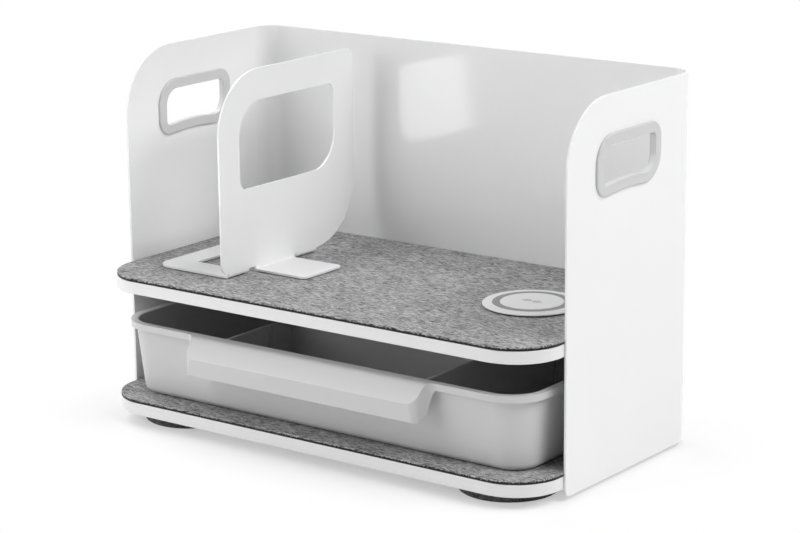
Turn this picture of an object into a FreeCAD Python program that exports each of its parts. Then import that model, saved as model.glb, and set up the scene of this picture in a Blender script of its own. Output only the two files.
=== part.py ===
import FreeCAD, Part
import math
import os
import Sketcher
from types import SimpleNamespace
from FreeCAD import Placement, Rotation, Vector

# Desk organizer: a bent steel wrap carries two felt-covered shelves, a tray drawer slides between
# them, and a bent sheet divider slides on the upper felt. A charging puck is set into that felt.
# Millimetres. X runs along the shelves, Y from front to back, Z up from the desk. The origin is
# on the desk, under the middle of the organizer's whole depth.

SIZES = {
    # steel wrap
    "wrap_width": 380.0,            # outside, left to right
    "wrap_depth": 161.5,            # side walls, front edge to outside of the back
    "wrap_top": 265.3,              # above the desk
    "wrap_lift": 3.4,               # lower edge above the desk
    "sheet": 1.5,                   # steel thickness
    "wrap_bend": 17.0,              # outside radius of the two back bends
    "wrap_crown": 46.5,             # rounded top front corner of each side wall
    "wrap_toe": 5.0,                # small lower front corner of each side wall
    "cable_hole": 8.0,              # radius of the hole for the charging lead
    "cable_hole_height": 92.0,
    # shelves and felt
    "board": 9.0,                   # thickness
    "board_reach": 38.8,            # how far a shelf stands out in front of the side walls
    "board_corner": 35.4,           # radius of the front corners
    "board_fit": 0.2,               # gap between a board and the steel
    "board_edge": 0.7,              # rounding of the board's edges
    "upper_height": 99.4,           # underside of the upper board
    "felt": 2.8,                    # thickness of a mat
    # feet
    "foot_height": 9.1,
    "foot_radius": 35.2,
    "foot_side": 49.8,              # foot centre in from the outside of the wrap
    "foot_inset": 45.9,             # foot centre in from the front and the back of the board
    "foot_recess": 8.5,             # radius of the screw's recess
    "foot_web": 4.1,                # felt left above the recess
    # angles and screws
    "angle_leg": 10.0,              # leg under the board
    "angle_drop": 12.0,             # leg down the wall, upper shelf
    "angle_toe": 5.2,               # leg down the wall, lower shelf
    "angle_bend": 1.2,              # outside radius of the bend
    "angle_length": 110.0,          # side angles
    "angle_back_length": 200.0,     # back angles, clear of the lead's hole
    "angle_back_gap": 26.0,         # side angle's rear end to the back wall
    "screw_radius": 1.75,
    "screw_head_radius": 3.4,
    "screw_head": 1.9,
    "screw_head_edge": 0.7,         # rounding of a head
    "screw_bite": 6.5,              # length of thread in a board
    "screw_inset": 4.6,             # from the free edge of an angle's leg
    "screw_pitch": 80.0,            # between the two screws of a side angle
    "screw_back_pitch": 80.0,       # between neighbours in a back angle
    "screw_play": 0.05,             # round a shank, in what it holds
    "washer_radius": 7.5,
    "washer": 1.0,
    # grip openings
    "grip_front": 40.7,             # opening, from the wall's front edge
    "grip_length": 64.8,
    "grip_low": 204.6,              # opening, above the desk
    "grip_high": 232.0,
    "grip_bow": 1.6,                # rise of the bowed lower edge
    "grip_bow_radius": 160.0,
    "grip_round": 12.0,             # large corners of the opening
    "grip_tight": 4.0,              # small corners of the opening
    "bezel_flange": 7.4,            # flange beyond the opening
    "bezel_edge": 1.0,              # rounding of the flange's outer edge
    "bezel_flange_thick": 1.7,
    "bezel_sleeve": 1.5,            # wall of the sleeve through the steel
    "bezel_play": 0.15,
    # charging puck
    "puck_side": 68.3,              # centre in from the outside of the right wall
    "puck_front": 61.8,             # centre behind the wall's front edge
    "puck_radius": 34.1,
    "puck_rise": 2.5,               # top of the band above the felt, where it meets the recess
    "puck_fall": 0.7,               # the band's top falls this much to its outside
    "puck_lip": 0.7,                # thickness of the band's outer lip
    "puck_neck": 33.1,              # radius of the neck under the lip, which stands on the felt
    "puck_edge": 0.3,               # rounding outside the lip
    "puck_recess_edge": 0.3,
    "puck_recess": 27.2,            # radius of the recess in the band
    "puck_deck": 1.2,               # floor of the recess above the felt
    "puck_deck_thick": 1.2,
    "puck_disc": 21.9,              # radius of the middle disc
    "puck_disc_thick": 1.5,
    "puck_disc_edge": 0.4,
    "puck_ring_thick": 1.2,
    "puck_gap": 0.1,
    "puck_tube": 29.0,              # radius of the tube through the board
    "puck_tube_wall": 1.6,
    "puck_tube_length": 26.0,       # below the felt's top
    "puck_hole_play": 0.6,          # round the tube, in board and felt
    "puck_nut": 35.0,
    "puck_nut_thick": 4.0,
    "puck_nut_edge": 0.8,
    "puck_thread_play": 0.1,
    "coil_inner": 10.0,
    "coil_outer": 21.5,
    "coil": 1.2,
    "ferrite_radius": 24.0,
    "ferrite": 0.8,
    "circuit_radius": 26.4,
    "circuit": 1.6,
    "cover": 1.5,
    "cover_post": 2.0,              # radius of a post
    "cover_post_height": 1.5,
    "cover_post_circle": 20.0,      # from the middle to a post
    "inlet_width": 9.0,
    "inlet_height": 3.2,
    "inlet_flat": 0.1,              # half of the straight part at each round end
    "inlet_length": 7.4,
    "inlet_shell": 0.3,
    "inlet_setback": 0.6,           # inlet's mouth inside the tube's outer face
    "inlet_play": 0.3,
    # drawer
    "slide_gap": 0.1,               # drawer and divider above the felt
    "tray_side_gap": 10.3,          # rim to the inside of a side wall
    "tray_rim_front": 32.0,         # rim in front of the wall's front edge
    "tray_rim_back": 9.5,           # rim to the inside of the back wall
    "tray_rim_corner": 28.0,
    "tray_top": 75.6,               # rim's top above the desk
    "tray_lip": 4.7,                # height of the rim's edge
    "tray_overhang": 3.4,           # rim beyond the wall
    "tray_wall": 2.2,
    "tray_side_draft": 4.0,         # how far a side wall leans in, top to bottom
    "tray_front_draft": 7.4,
    "tray_corner_draft": 5.0,       # how much tighter a corner is at the foot than at the top
    "tray_foot_round": 5.5,
    "tray_rim_round": 1.6,
    "tray_rim_inner_round": 0.9,
    "partition_side": 87.5,         # partition's middle from the drawer's middle
    "partition": 2.0,
    "partition_edge": 0.6,          # rounding of the upper edge
    "partition_drop": 4.6,          # top below the rim
    "partition_play": 0.3,
    "rib": 1.5,
    "rib_reach": 2.4,
    "cross_slot": 33.0,             # first cross slot behind the wall's front edge
    "cross_slot_pitch": 26.0,       # to the second cross slot
    "cross_rib": 0.8,
    "cross_rib_gap": 2.4,
    "cross_play": 0.1,              # round the cross wall, in its slots
    # drawer handle
    "handle_half": 101.0,           # middle to the straight end
    "handle_reach": 46.2,           # crease in front of the wall's front edge
    "handle_brow": 34.5,            # where the top turns down
    "handle_brow_round": 5.0,
    "handle_crease": 62.8,          # above the desk
    "handle_lip": 49.5,             # above the desk
    "handle_lip_reach": 45.0,
    "handle_wall": 2.2,
    "handle_end": 4.3,              # wall at each end of the finger space
    "handle_flare": 8.0,            # concave radius into the rim
    "handle_corner": 7.0,           # convex radius at the front
    "handle_edge": 1.0,
    "handle_heel": 35.5,            # where the end's lower edge turns up
    "handle_heel_round": 9.0,
    # divider
    "divider_left": 96.15,          # upright plate's middle from the left wall's outside
    "divider_front": 10.8,          # in front of the wall's front edge
    "divider_back": 142.6,          # behind the wall's front edge
    "divider_top": 258.2,           # above the desk
    "divider_crown": 45.0,          # top front corner
    "divider_nape": 6.0,            # top rear corner
    "divider_heel": 48.0,           # lower rear corner
    "divider_chin": 7.5,            # lower front corner
    "divider_bend": 3.0,            # outside radius of a bend
    "divider_relief": 0.5,          # bend's end to the upright's lower edge
    "foot_frame_front": 3.3,        # in front of the wall's front edge
    "foot_frame_back": 96.5,
    "foot_frame_width": 69.0,       # to the left of the plate's middle
    "foot_frame_strip": 21.0,       # width of the left strip
    "foot_frame_corner": 12.0,
    "tab_front": 26.0,
    "tab_back": 69.6,
    "tab_front_slot": 7.2,          # open between the frame and the tab, in front
    "tab_back_slot": 3.0,           # and behind
    "tab_width": 45.8,              # to the right of the plate's middle
    "tab_corner": 4.0,
    "window_front": 11.2,
    "window_back": 119.5,
    "window_low": 173.1,
    "window_high": 235.6,
    "window_round": 25.0,
    "window_tight": 7.5,
    "grip_pad": 0.5,
    "grip_pad_inset": 1.0,
}

doc = FreeCAD.newDocument("desk_organizer")
sheet = doc.addObject("Spreadsheet::Sheet", "Sizes")
for row, (alias, number) in enumerate(SIZES.items(), start=1):
    sheet.set(f"A{row}", alias)
    sheet.set(f"B{row}", str(number))
    sheet.setAlias(f"B{row}", alias)
doc.recompute()


class Size(float):
    """A length that remembers the sheet expression it comes from."""

    def __new__(cls, number, text):
        size = super().__new__(cls, number)
        size.text = text
        return size

    def __add__(self, other):
        return joined(self, "+", other, float(self) + float(other))

    def __radd__(self, other):
        return joined(other, "+", self, float(other) + float(self))

    def __sub__(self, other):
        return joined(self, "-", other, float(self) - float(other))

    def __rsub__(self, other):
        return joined(other, "-", self, float(other) - float(self))

    def __mul__(self, other):
        return joined(self, "*", other, float(self) * float(other))

    def __rmul__(self, other):
        return joined(other, "*", self, float(other) * float(self))

    def __truediv__(self, other):
        return joined(self, "/", other, float(self) / float(other))

    def __neg__(self):
        return joined(0.0, "-", self, -float(self))


def as_size(number):
    """A plain number as a Size."""
    return number if isinstance(number, Size) else Size(number, repr(float(number)))


def joined(first, sign, second, number):
    """The Size of two terms and the sign between them."""
    return Size(number, f"({as_size(first).text} {sign} {as_size(second).text})")


d = SimpleNamespace(**{alias: Size(number, f"Sizes.{alias}") for alias, number in SIZES.items()})

CUT_ROOM = 2.0      # how far a cut runs past the face it opens


def bind(item, path, size):
    """Tie one property of a document object to the sheet."""
    item.setExpression(path, as_size(size).text)


def place(item, x=0.0, y=0.0, z=0.0, turn=0.0):
    """Put a sub-part at a point, turned about Z, with the point tied to the sheet."""
    x, y, z = as_size(x), as_size(y), as_size(z)
    item.Placement = Placement(Vector(x, y, z), Rotation(Vector(0, 0, 1), turn))
    for axis, size in (("x", x), ("y", y), ("z", z)):
        bind(item, f"Placement.Base.{axis}", size)
    return item


# ---------------------------------------------------------------- sketches and features

def new_body(label):
    """An empty body whose label is the sub-part's name."""
    body = doc.addObject("PartDesign::Body", label)
    body.Label = label
    return body


def sketch_on(body, name, role, offset=0.0):
    """A sketch on one of the body's own origin planes, moved along its normal."""
    plane = next(item for item in body.Origin.OriginFeatures if item.Role == role)
    sketch = body.newObject("Sketcher::SketchObject", name)
    sketch.AttachmentSupport = [(plane, "")]
    sketch.MapMode = "FlatFace"
    sketch.AttachmentOffset = Placement(Vector(0, 0, float(offset)), Rotation())
    bind(sketch, "AttachmentOffset.Base.z", offset)
    return sketch


def pin_point(sketch, item, end, x, y):
    """Hold one sketch point at (x, y), each tied to the sheet."""
    for kind, size, axis in (("DistanceX", x, -2), ("DistanceY", y, -1)):
        if float(size) == 0.0:
            sketch.addConstraint(Sketcher.Constraint("PointOnObject", item, end, axis))
            continue
        number = sketch.addConstraint(Sketcher.Constraint(kind, -1, 1, item, end, float(size)))
        sketch.setExpression(f"Constraints[{number}]", as_size(size).text)


def add_circle(sketch, x, y, radius):
    """A circle whose centre and radius are tied to the sheet."""
    circle = Part.Circle(Vector(x, y, 0), Vector(0, 0, 1), float(radius))
    item = sketch.addGeometry(circle, False)
    pin_point(sketch, item, 3, x, y)
    number = sketch.addConstraint(Sketcher.Constraint("Radius", item, float(radius)))
    sketch.setExpression(f"Constraints[{number}]", as_size(radius).text)


def rounded_corner(before, corner, after, radius):
    """Arc that rounds a corner: its two tangent points, its centre and whether it turns left."""
    to_before = (before - corner).normalize()
    to_after = (after - corner).normalize()
    half = math.acos(max(-1.0, min(1.0, to_before.dot(to_after)))) / 2
    reach = radius / math.tan(half)
    centre = corner + (to_before + to_after).normalize() * (radius / math.sin(half))
    turns_left = to_before.cross(to_after).z < 0
    return corner + to_before * reach, corner + to_after * reach, centre, turns_left


def add_outline(sketch, corners):
    """A closed outline of straight sides. A corner is (x, y) or, rounded, (x, y, radius)."""
    points = [Vector(float(corner[0]), float(corner[1]), 0) for corner in corners]
    count = len(points)
    starts, ends, arcs = [], [], []
    for index, corner in enumerate(corners):
        if len(corner) == 2:
            starts.append(points[index])
            ends.append(points[index])
            arcs.append(None)
            continue
        entry, leave, centre, turns_left = rounded_corner(
            points[index - 1], points[index], points[(index + 1) % count], float(corner[2]))
        ends.append(entry)
        starts.append(leave)
        first, last = (entry, leave) if turns_left else (leave, entry)
        circle = Part.Circle(centre, Vector(0, 0, 1), float(corner[2]))
        begin = math.atan2(first.y - centre.y, first.x - centre.x)
        finish = math.atan2(last.y - centre.y, last.x - centre.x)
        item = sketch.addGeometry(Part.ArcOfCircle(circle, begin, finish), False)
        arcs.append((item, 1 if turns_left else 2, 2 if turns_left else 1))
    sides = []
    for index in range(count):
        line = Part.LineSegment(starts[index], ends[(index + 1) % count])
        sides.append(sketch.addGeometry(line, False))
    for index, corner in enumerate(corners):
        before, after = sides[index - 1], sides[index]
        if arcs[index] is None:
            sketch.addConstraint(Sketcher.Constraint("Coincident", before, 2, after, 1))
            pin_point(sketch, after, 1, corner[0], corner[1])
            continue
        item, entry_end, leave_end = arcs[index]
        sketch.addConstraint(Sketcher.Constraint("Tangent", before, 2, item, entry_end))
        sketch.addConstraint(Sketcher.Constraint("Tangent", item, leave_end, after, 1))
        number = sketch.addConstraint(Sketcher.Constraint("Radius", item, float(corner[2])))
        sketch.setExpression(f"Constraints[{number}]", as_size(corner[2]).text)
        tip = sketch.addGeometry(Part.Point(points[index]), True)
        pin_point(sketch, tip, 1, corner[0], corner[1])
        sketch.addConstraint(Sketcher.Constraint("PointOnObject", tip, 1, before))
        sketch.addConstraint(Sketcher.Constraint("PointOnObject", tip, 1, after))


def add_rectangle(sketch, left, right, low, high, radius=None):
    """A rectangle by its four sides, with one radius at every corner or none."""
    corners = [(left, low), (right, low), (right, high), (left, high)]
    if radius is not None:
        corners = [corner + (radius,) for corner in corners]
    add_outline(sketch, corners)


def extrude(body, kind, sketch, length, reverse=False):
    """A Pad or Pocket of the sketch over one length."""
    feature = body.newObject(f"PartDesign::{kind}", f"{sketch.Name}_{kind.lower()}")
    feature.Profile = sketch
    feature.Length = float(length)
    bind(feature, "Length", length)
    feature.Reversed = reverse
    sketch.Visibility = False
    return feature


def pad(body, sketch, length, reverse=False):
    """Add the sketch's area over a length along its normal."""
    return extrude(body, "Pad", sketch, length, reverse)


def pocket(body, sketch, length, reverse=True):
    """Cut the sketch's area over a length along its normal, and make sure that it cuts."""
    doc.recompute()
    before = body.Shape.Volume
    feature = extrude(body, "Pocket", sketch, length, reverse)
    doc.recompute()
    if body.Shape.Volume >= before:
        raise RuntimeError(f"{feature.Name} cuts nothing")
    return feature


def revolve(body, sketch):
    """Turn the sketch's area once round its vertical axis."""
    feature = body.newObject("PartDesign::Revolution", f"{sketch.Name}_turned")
    feature.Profile = sketch
    feature.ReferenceAxis = (sketch, ["V_Axis"])
    feature.Angle = 360.0
    return feature


def loft(body, kind, low, high):
    """An AdditiveLoft or SubtractiveLoft between two sketches."""
    feature = body.newObject(f"PartDesign::{kind}", f"{low.Name}_loft")
    feature.Profile = low
    feature.Sections = [high]
    feature.Ruled = True
    return feature


def edges_where(shape, test):
    """Names of the shape's edges whose every sample point passes the test."""
    names = []
    for number, edge in enumerate(shape.Edges, start=1):
        span = edge.LastParameter - edge.FirstParameter
        shares = (0.0, 0.25, 0.5, 0.75, 1.0)
        samples = [edge.valueAt(edge.FirstParameter + span * share) for share in shares]
        if all(test(point) for point in samples):
            names.append(f"Edge{number}")
    return names


def fillet(body, name, radius, test):
    """Round the edges of the body that pass the test."""
    doc.recompute()
    base = body.Tip
    names = edges_where(base.Shape, test)
    if not names:
        raise RuntimeError(f"{name} finds no edge")
    feature = body.newObject("PartDesign::Fillet", name)
    feature.Base = (base, names)
    feature.Radius = float(radius)
    bind(feature, "Radius", radius)
    doc.recompute()
    return feature


def near(first, second, room=0.01):
    """Whether two numbers are the same length."""
    return abs(float(first) - float(second)) < room


# ---------------------------------------------------------------- shared places

half_width = d.wrap_width / 2
inner_half = half_width - d.sheet
wall_front = (d.handle_reach - d.wrap_depth) / 2
wall_back = wall_front + d.wrap_depth
inner_back = wall_back - d.sheet
lower_height = d.foot_height
lower_felt_top = lower_height + d.board + d.felt
upper_felt_top = d.upper_height + d.board + d.felt
board_half = inner_half - d.board_fit
board_depth = d.board_reach + d.wrap_depth - d.sheet - d.board_fit
board_front = wall_front - d.board_reach
puck_x = half_width - d.puck_side
puck_y = wall_front + d.puck_front
puck_hole = d.puck_tube + d.puck_hole_play
foot_x = half_width - d.foot_side
foot_ys = (board_front + d.foot_inset, board_front + board_depth - d.foot_inset)
screw_clear = d.screw_radius + d.screw_play
angle_mid = inner_back - d.angle_back_gap - d.angle_length / 2
side_screw_x = inner_half - d.angle_leg + d.screw_inset
back_screw_y = inner_back - d.angle_leg + d.screw_inset
inlet_round = d.inlet_height / 2 - d.inlet_flat


def shelf_screw_points():
    """Screw centres shared by both shelves: two at each side and three along the back."""
    points = [(side * side_screw_x, angle_mid + end * d.screw_pitch / 2)
              for side in (-1, 1) for end in (-1, 1)]
    points += [(step * d.screw_back_pitch, back_screw_y) for step in (-1, 0, 1)]
    return points


def foot_points():
    """Centres of the four feet."""
    return [(side * foot_x, y) for y in foot_ys for side in (-1, 1)]


# ---------------------------------------------------------------- steel wrap and grips

def grip_outline(sketch, grow):
    """The grip opening seen along X, grown by a margin: two large and two small corners."""
    front = wall_front + d.grip_front - grow
    back = wall_front + d.grip_front + d.grip_length + grow
    low = d.grip_low - grow
    high = d.grip_high + grow
    middle = wall_front + d.grip_front + d.grip_length / 2
    add_outline(sketch, [
        (front, low, d.grip_tight + grow),
        (middle, low + d.grip_bow * 2, d.grip_bow_radius),
        (back, low, d.grip_round + grow),
        (back, high, d.grip_tight + grow),
        (front, high, d.grip_round + grow),
    ])


def steel_wrap():
    """Side walls and back of one sheet, with the two grip openings and the lead's hole."""
    body = new_body("steel_wrap")
    plan = sketch_on(body, "wrap_plan", "XY_Plane", d.wrap_lift)
    add_outline(plan, [
        (-half_width, wall_front),
        (-inner_half, wall_front),
        (-inner_half, inner_back, d.wrap_bend - d.sheet),
        (inner_half, inner_back, d.wrap_bend - d.sheet),
        (inner_half, wall_front),
        (half_width, wall_front),
        (half_width, wall_back, d.wrap_bend),
        (-half_width, wall_back, d.wrap_bend),
    ])
    pad(body, plan, d.wrap_top - d.wrap_lift)
    fillet(body, "wrap_crowns", d.wrap_crown,
           lambda point: near(point.y, wall_front) and near(point.z, d.wrap_top))
    fillet(body, "wrap_toes", d.wrap_toe,
           lambda point: near(point.y, wall_front) and near(point.z, d.wrap_lift))
    grips = sketch_on(body, "wrap_grips", "YZ_Plane", -half_width - CUT_ROOM)
    grip_outline(grips, d.bezel_sleeve + d.bezel_play)
    pocket(body, grips, d.wrap_width + 2 * CUT_ROOM)
    hole = sketch_on(body, "wrap_cable_hole", "XZ_Plane", -wall_back - CUT_ROOM)
    add_circle(hole, puck_x, d.cable_hole_height, d.cable_hole)
    pocket(body, hole, d.sheet + 2 * CUT_ROOM)
    return body


def grip_bezel_outer(side, name):
    """Flange outside the steel with a sleeve through it."""
    body = new_body(f"grip_bezel_outer_{name}")
    face = side * half_width
    flange = sketch_on(body, f"outer_flange_{name}", "YZ_Plane", face)
    grip_outline(flange, d.bezel_flange)
    pad(body, flange, d.bezel_flange_thick, reverse=side < 0)
    fillet(body, f"outer_flange_edge_{name}", d.bezel_edge,
           lambda point: near(point.x, face + side * d.bezel_flange_thick))
    sleeve = sketch_on(body, f"outer_sleeve_{name}", "YZ_Plane", face)
    grip_outline(sleeve, d.bezel_sleeve)
    pad(body, sleeve, d.sheet + d.bezel_flange_thick / 2, reverse=side > 0)
    opening = sketch_on(body, f"outer_opening_{name}", "YZ_Plane", face + side * CUT_ROOM)
    grip_outline(opening, 0.0)
    pocket(body, opening, d.sheet + d.bezel_flange_thick + 2 * CUT_ROOM, reverse=side < 0)
    return body


def grip_bezel_inner(side, name):
    """Flange inside the steel that snaps over the end of the sleeve."""
    body = new_body(f"grip_bezel_inner_{name}")
    face = side * inner_half
    flange = sketch_on(body, f"inner_flange_{name}", "YZ_Plane", face)
    grip_outline(flange, d.bezel_flange)
    pad(body, flange, d.bezel_flange_thick, reverse=side > 0)
    fillet(body, f"inner_flange_edge_{name}", d.bezel_edge,
           lambda point: near(point.x, face - side * d.bezel_flange_thick))
    seat = sketch_on(body, f"inner_seat_{name}", "YZ_Plane", face + side * CUT_ROOM)
    grip_outline(seat, d.bezel_sleeve + d.bezel_play)
    depth = d.bezel_flange_thick / 2 + d.bezel_play + CUT_ROOM
    pocket(body, seat, depth, reverse=side < 0)
    opening = sketch_on(body, f"inner_opening_{name}", "YZ_Plane", face + side * CUT_ROOM)
    grip_outline(opening, 0.0)
    pocket(body, opening, d.bezel_flange_thick + 2 * CUT_ROOM, reverse=side < 0)
    return body


# ---------------------------------------------------------------- shelves

def shelf_plan(sketch):
    """Outline of a board and of its mat: front corners round, back corners clear of the bends."""
    back = board_front + board_depth
    add_outline(sketch, [
        (-board_half, board_front, d.board_corner),
        (board_half, board_front, d.board_corner),
        (board_half, back, d.wrap_bend),
        (-board_half, back, d.wrap_bend),
    ])


def shelf_board(label, height, with_puck, with_feet):
    """A board with blind holes for the screws that hold it, and for the feet or the puck."""
    body = new_body(label)
    plan = sketch_on(body, f"{label}_plan", "XY_Plane")
    shelf_plan(plan)
    pad(body, plan, d.board)
    fillet(body, f"{label}_edges", d.board_edge,
           lambda point: near(point.z, 0.0) or near(point.z, d.board))
    holes = sketch_on(body, f"{label}_pilots", "XY_Plane", -CUT_ROOM)
    for x, y in shelf_screw_points():
        add_circle(holes, x, y, screw_clear)
    if with_feet:
        for x, y in foot_points():
            add_circle(holes, x, y, screw_clear)
    pocket(body, holes, d.screw_bite + d.screw_play + CUT_ROOM)
    if with_puck:
        hole = sketch_on(body, f"{label}_puck_hole", "XY_Plane", -CUT_ROOM)
        add_circle(hole, puck_x, puck_y, puck_hole)
        pocket(body, hole, d.board + 2 * CUT_ROOM)
    return place(body, z=height)


def felt_mat(label, height, with_puck):
    """The felt glued over a board."""
    body = new_body(label)
    plan = sketch_on(body, f"{label}_plan", "XY_Plane")
    shelf_plan(plan)
    if with_puck:
        add_circle(plan, puck_x, puck_y, puck_hole)
    pad(body, plan, d.felt)
    return place(body, z=height)


def shelf_angle(label, length, drop, screws, x, y, z, turn):
    """A steel angle under a board: local X runs away from the wall, the bend is at the wall."""
    body = new_body(label)
    profile = sketch_on(body, f"{label}_profile", "XZ_Plane", -length / 2)
    add_outline(profile, [
        (0.0, -drop),
        (d.sheet, -drop),
        (d.sheet, -d.sheet),
        (d.angle_leg, -d.sheet),
        (d.angle_leg, 0.0),
        (0.0, 0.0, d.angle_bend),
    ])
    pad(body, profile, length)
    holes = sketch_on(body, f"{label}_holes", "XY_Plane", CUT_ROOM)
    for along in screws:
        add_circle(holes, d.angle_leg - d.screw_inset, along, screw_clear)
    pocket(body, holes, d.sheet + 2 * CUT_ROOM, reverse=False)
    return place(body, x, y, z, turn)


def shelf_angles():
    """Left, right and back angles under both boards."""
    pair = (-d.screw_pitch / 2, d.screw_pitch / 2)
    three = (-d.screw_back_pitch, 0.0, d.screw_back_pitch)
    angles = []
    for shelf, height, drop in (("upper", d.upper_height, d.angle_drop),
                                ("lower", lower_height, d.angle_toe)):
        angles.append(shelf_angle(f"{shelf}_angle_left", d.angle_length, drop, pair,
                                  -inner_half, angle_mid, height, 0.0))
        angles.append(shelf_angle(f"{shelf}_angle_right", d.angle_length, drop, pair,
                                  inner_half, angle_mid, height, 180.0))
        angles.append(shelf_angle(f"{shelf}_angle_back", d.angle_back_length, drop, three,
                                  0.0, inner_back, height, -90.0))
    return angles


def screw_group(label, points, bearing, height):
    """Screws driven upwards: heads below the bearing face, shanks into the board above."""
    body = new_body(label)
    body.AllowCompound = True
    shanks = sketch_on(body, f"{label}_shanks", "XY_Plane")
    heads = sketch_on(body, f"{label}_heads", "XY_Plane")
    for x, y in points:
        add_circle(shanks, x, y, d.screw_radius)
        add_circle(heads, x, y, d.screw_head_radius)
    pad(body, shanks, bearing + d.screw_bite)
    pad(body, heads, d.screw_head, reverse=True)
    fillet(body, f"{label}_head_edges", d.screw_head_edge,
           lambda point: near(point.z, -d.screw_head))
    return place(body, z=height - bearing)


# ---------------------------------------------------------------- feet

def felt_foot(name, x, y):
    """A round felt foot with a recess for its screw and washer."""
    body = new_body(f"felt_foot_{name}")
    disc = sketch_on(body, f"foot_disc_{name}", "XY_Plane")
    add_circle(disc, 0.0, 0.0, d.foot_radius)
    pad(body, disc, d.foot_height)
    recess = sketch_on(body, f"foot_recess_{name}", "XY_Plane", -CUT_ROOM)
    add_circle(recess, 0.0, 0.0, d.foot_recess)
    pocket(body, recess, d.foot_height - d.foot_web + CUT_ROOM)
    bore = sketch_on(body, f"foot_bore_{name}", "XY_Plane", -CUT_ROOM)
    add_circle(bore, 0.0, 0.0, screw_clear)
    pocket(body, bore, d.foot_height + 2 * CUT_ROOM)
    return place(body, x, y)


def felt_feet():
    """Front and rear feet."""
    names = ("front_left", "front_right", "rear_left", "rear_right")
    return [felt_foot(name, x, y) for name, (x, y) in zip(names, foot_points())]


def foot_washers():
    """One washer under each foot screw's head."""
    body = new_body("foot_washers")
    body.AllowCompound = True
    rings = sketch_on(body, "washer_rings", "XY_Plane")
    for x, y in foot_points():
        add_circle(rings, x, y, d.washer_radius)
        add_circle(rings, x, y, screw_clear)
    pad(body, rings, d.washer, reverse=True)
    return place(body, z=d.foot_height - d.foot_web)


# ---------------------------------------------------------------- charging puck

def puck_part(body):
    """Place a part of the puck: its own zero is on the felt's top, at the puck's centre."""
    return place(body, puck_x, puck_y, upper_felt_top)


def turned_part(label, corners):
    """A body turned about Z from its half section (radius, height)."""
    body = new_body(label)
    section = sketch_on(body, f"{label}_section", "XZ_Plane")
    add_outline(section, corners)
    revolve(body, section)
    return body


def puck_housing():
    """Band on the felt, recessed deck and the tube through the board, with a slot for the inlet."""
    deck_under = d.puck_deck - d.puck_deck_thick
    bore = d.puck_tube - d.puck_tube_wall
    lip_top = d.puck_rise - d.puck_fall
    lip_under = lip_top - d.puck_lip
    body = turned_part("puck_housing", [
        (0.0, deck_under),
        (bore, deck_under),
        (bore, -d.puck_tube_length),
        (d.puck_tube, -d.puck_tube_length),
        (d.puck_tube, 0.0),
        (d.puck_neck, 0.0),
        (d.puck_neck, lip_under),
        (d.puck_radius, lip_under),
        (d.puck_radius, lip_top, d.puck_edge),
        (d.puck_recess, d.puck_rise, d.puck_recess_edge),
        (d.puck_recess, d.puck_deck),
        (0.0, d.puck_deck),
    ])
    slot = sketch_on(body, "puck_inlet_slot", "XZ_Plane", -d.puck_tube - CUT_ROOM)
    low, high = inlet_heights()
    add_rectangle(slot, -d.inlet_width / 2 - d.inlet_play, d.inlet_width / 2 + d.inlet_play,
                  low - d.inlet_play / 2, high + d.inlet_play, inlet_round)
    pocket(body, slot, d.puck_tube_wall * 2 + CUT_ROOM)
    return puck_part(body)


def circuit_top():
    """Top face of the circuit board, from the felt's top."""
    return -d.puck_tube_length + d.cover + d.cover_post_height + d.circuit


def inlet_heights():
    """Lowest and highest level of the inlet, which lies on the circuit board."""
    return circuit_top(), circuit_top() + d.inlet_height


def puck_ring():
    """Soft grey ring in the recess."""
    inner = d.puck_disc + d.puck_gap
    outer = d.puck_recess - d.puck_gap
    return puck_part(turned_part("puck_grip_ring", [
        (inner, d.puck_deck),
        (outer, d.puck_deck),
        (outer, d.puck_deck + d.puck_ring_thick),
        (inner, d.puck_deck + d.puck_ring_thick),
    ]))


def puck_disc():
    """Middle disc that the telephone lies on."""
    top = d.puck_deck + d.puck_disc_thick
    return puck_part(turned_part("puck_top_disc", [
        (0.0, d.puck_deck),
        (d.puck_disc, d.puck_deck),
        (d.puck_disc, top, d.puck_disc_edge),
        (0.0, top),
    ]))


def puck_coil():
    """Flat charging coil under the deck."""
    top = d.puck_deck - d.puck_deck_thick
    return puck_part(turned_part("charging_coil", [
        (d.coil_inner, top - d.coil),
        (d.coil_outer, top - d.coil),
        (d.coil_outer, top),
        (d.coil_inner, top),
    ]))


def puck_ferrite():
    """Ferrite sheet behind the coil."""
    top = d.puck_deck - d.puck_deck_thick - d.coil
    return puck_part(turned_part("ferrite_shield", [
        (0.0, top - d.ferrite),
        (d.ferrite_radius, top - d.ferrite),
        (d.ferrite_radius, top),
        (0.0, top),
    ]))


def puck_circuit():
    """Round circuit board on the cover's posts."""
    top = circuit_top()
    return puck_part(turned_part("circuit_board", [
        (0.0, top - d.circuit),
        (d.circuit_radius, top - d.circuit),
        (d.circuit_radius, top),
        (0.0, top),
    ]))


def puck_inlet():
    """Metal shell of the power inlet, open to the back."""
    body = new_body("power_inlet")
    low, high = inlet_heights()
    half = d.inlet_width / 2
    mouth = d.puck_tube - d.inlet_setback
    shell = sketch_on(body, "inlet_shell", "XZ_Plane", -mouth)
    add_rectangle(shell, -half, half, low, high, inlet_round)
    pad(body, shell, d.inlet_length)
    socket = sketch_on(body, "inlet_socket", "XZ_Plane", -mouth - CUT_ROOM)
    add_rectangle(socket, -half + d.inlet_shell, half - d.inlet_shell,
                  low + d.inlet_shell, high - d.inlet_shell,
                  inlet_round - d.inlet_shell)
    pocket(body, socket, d.inlet_length - d.inlet_shell * 2 + CUT_ROOM)
    return puck_part(body)


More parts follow.
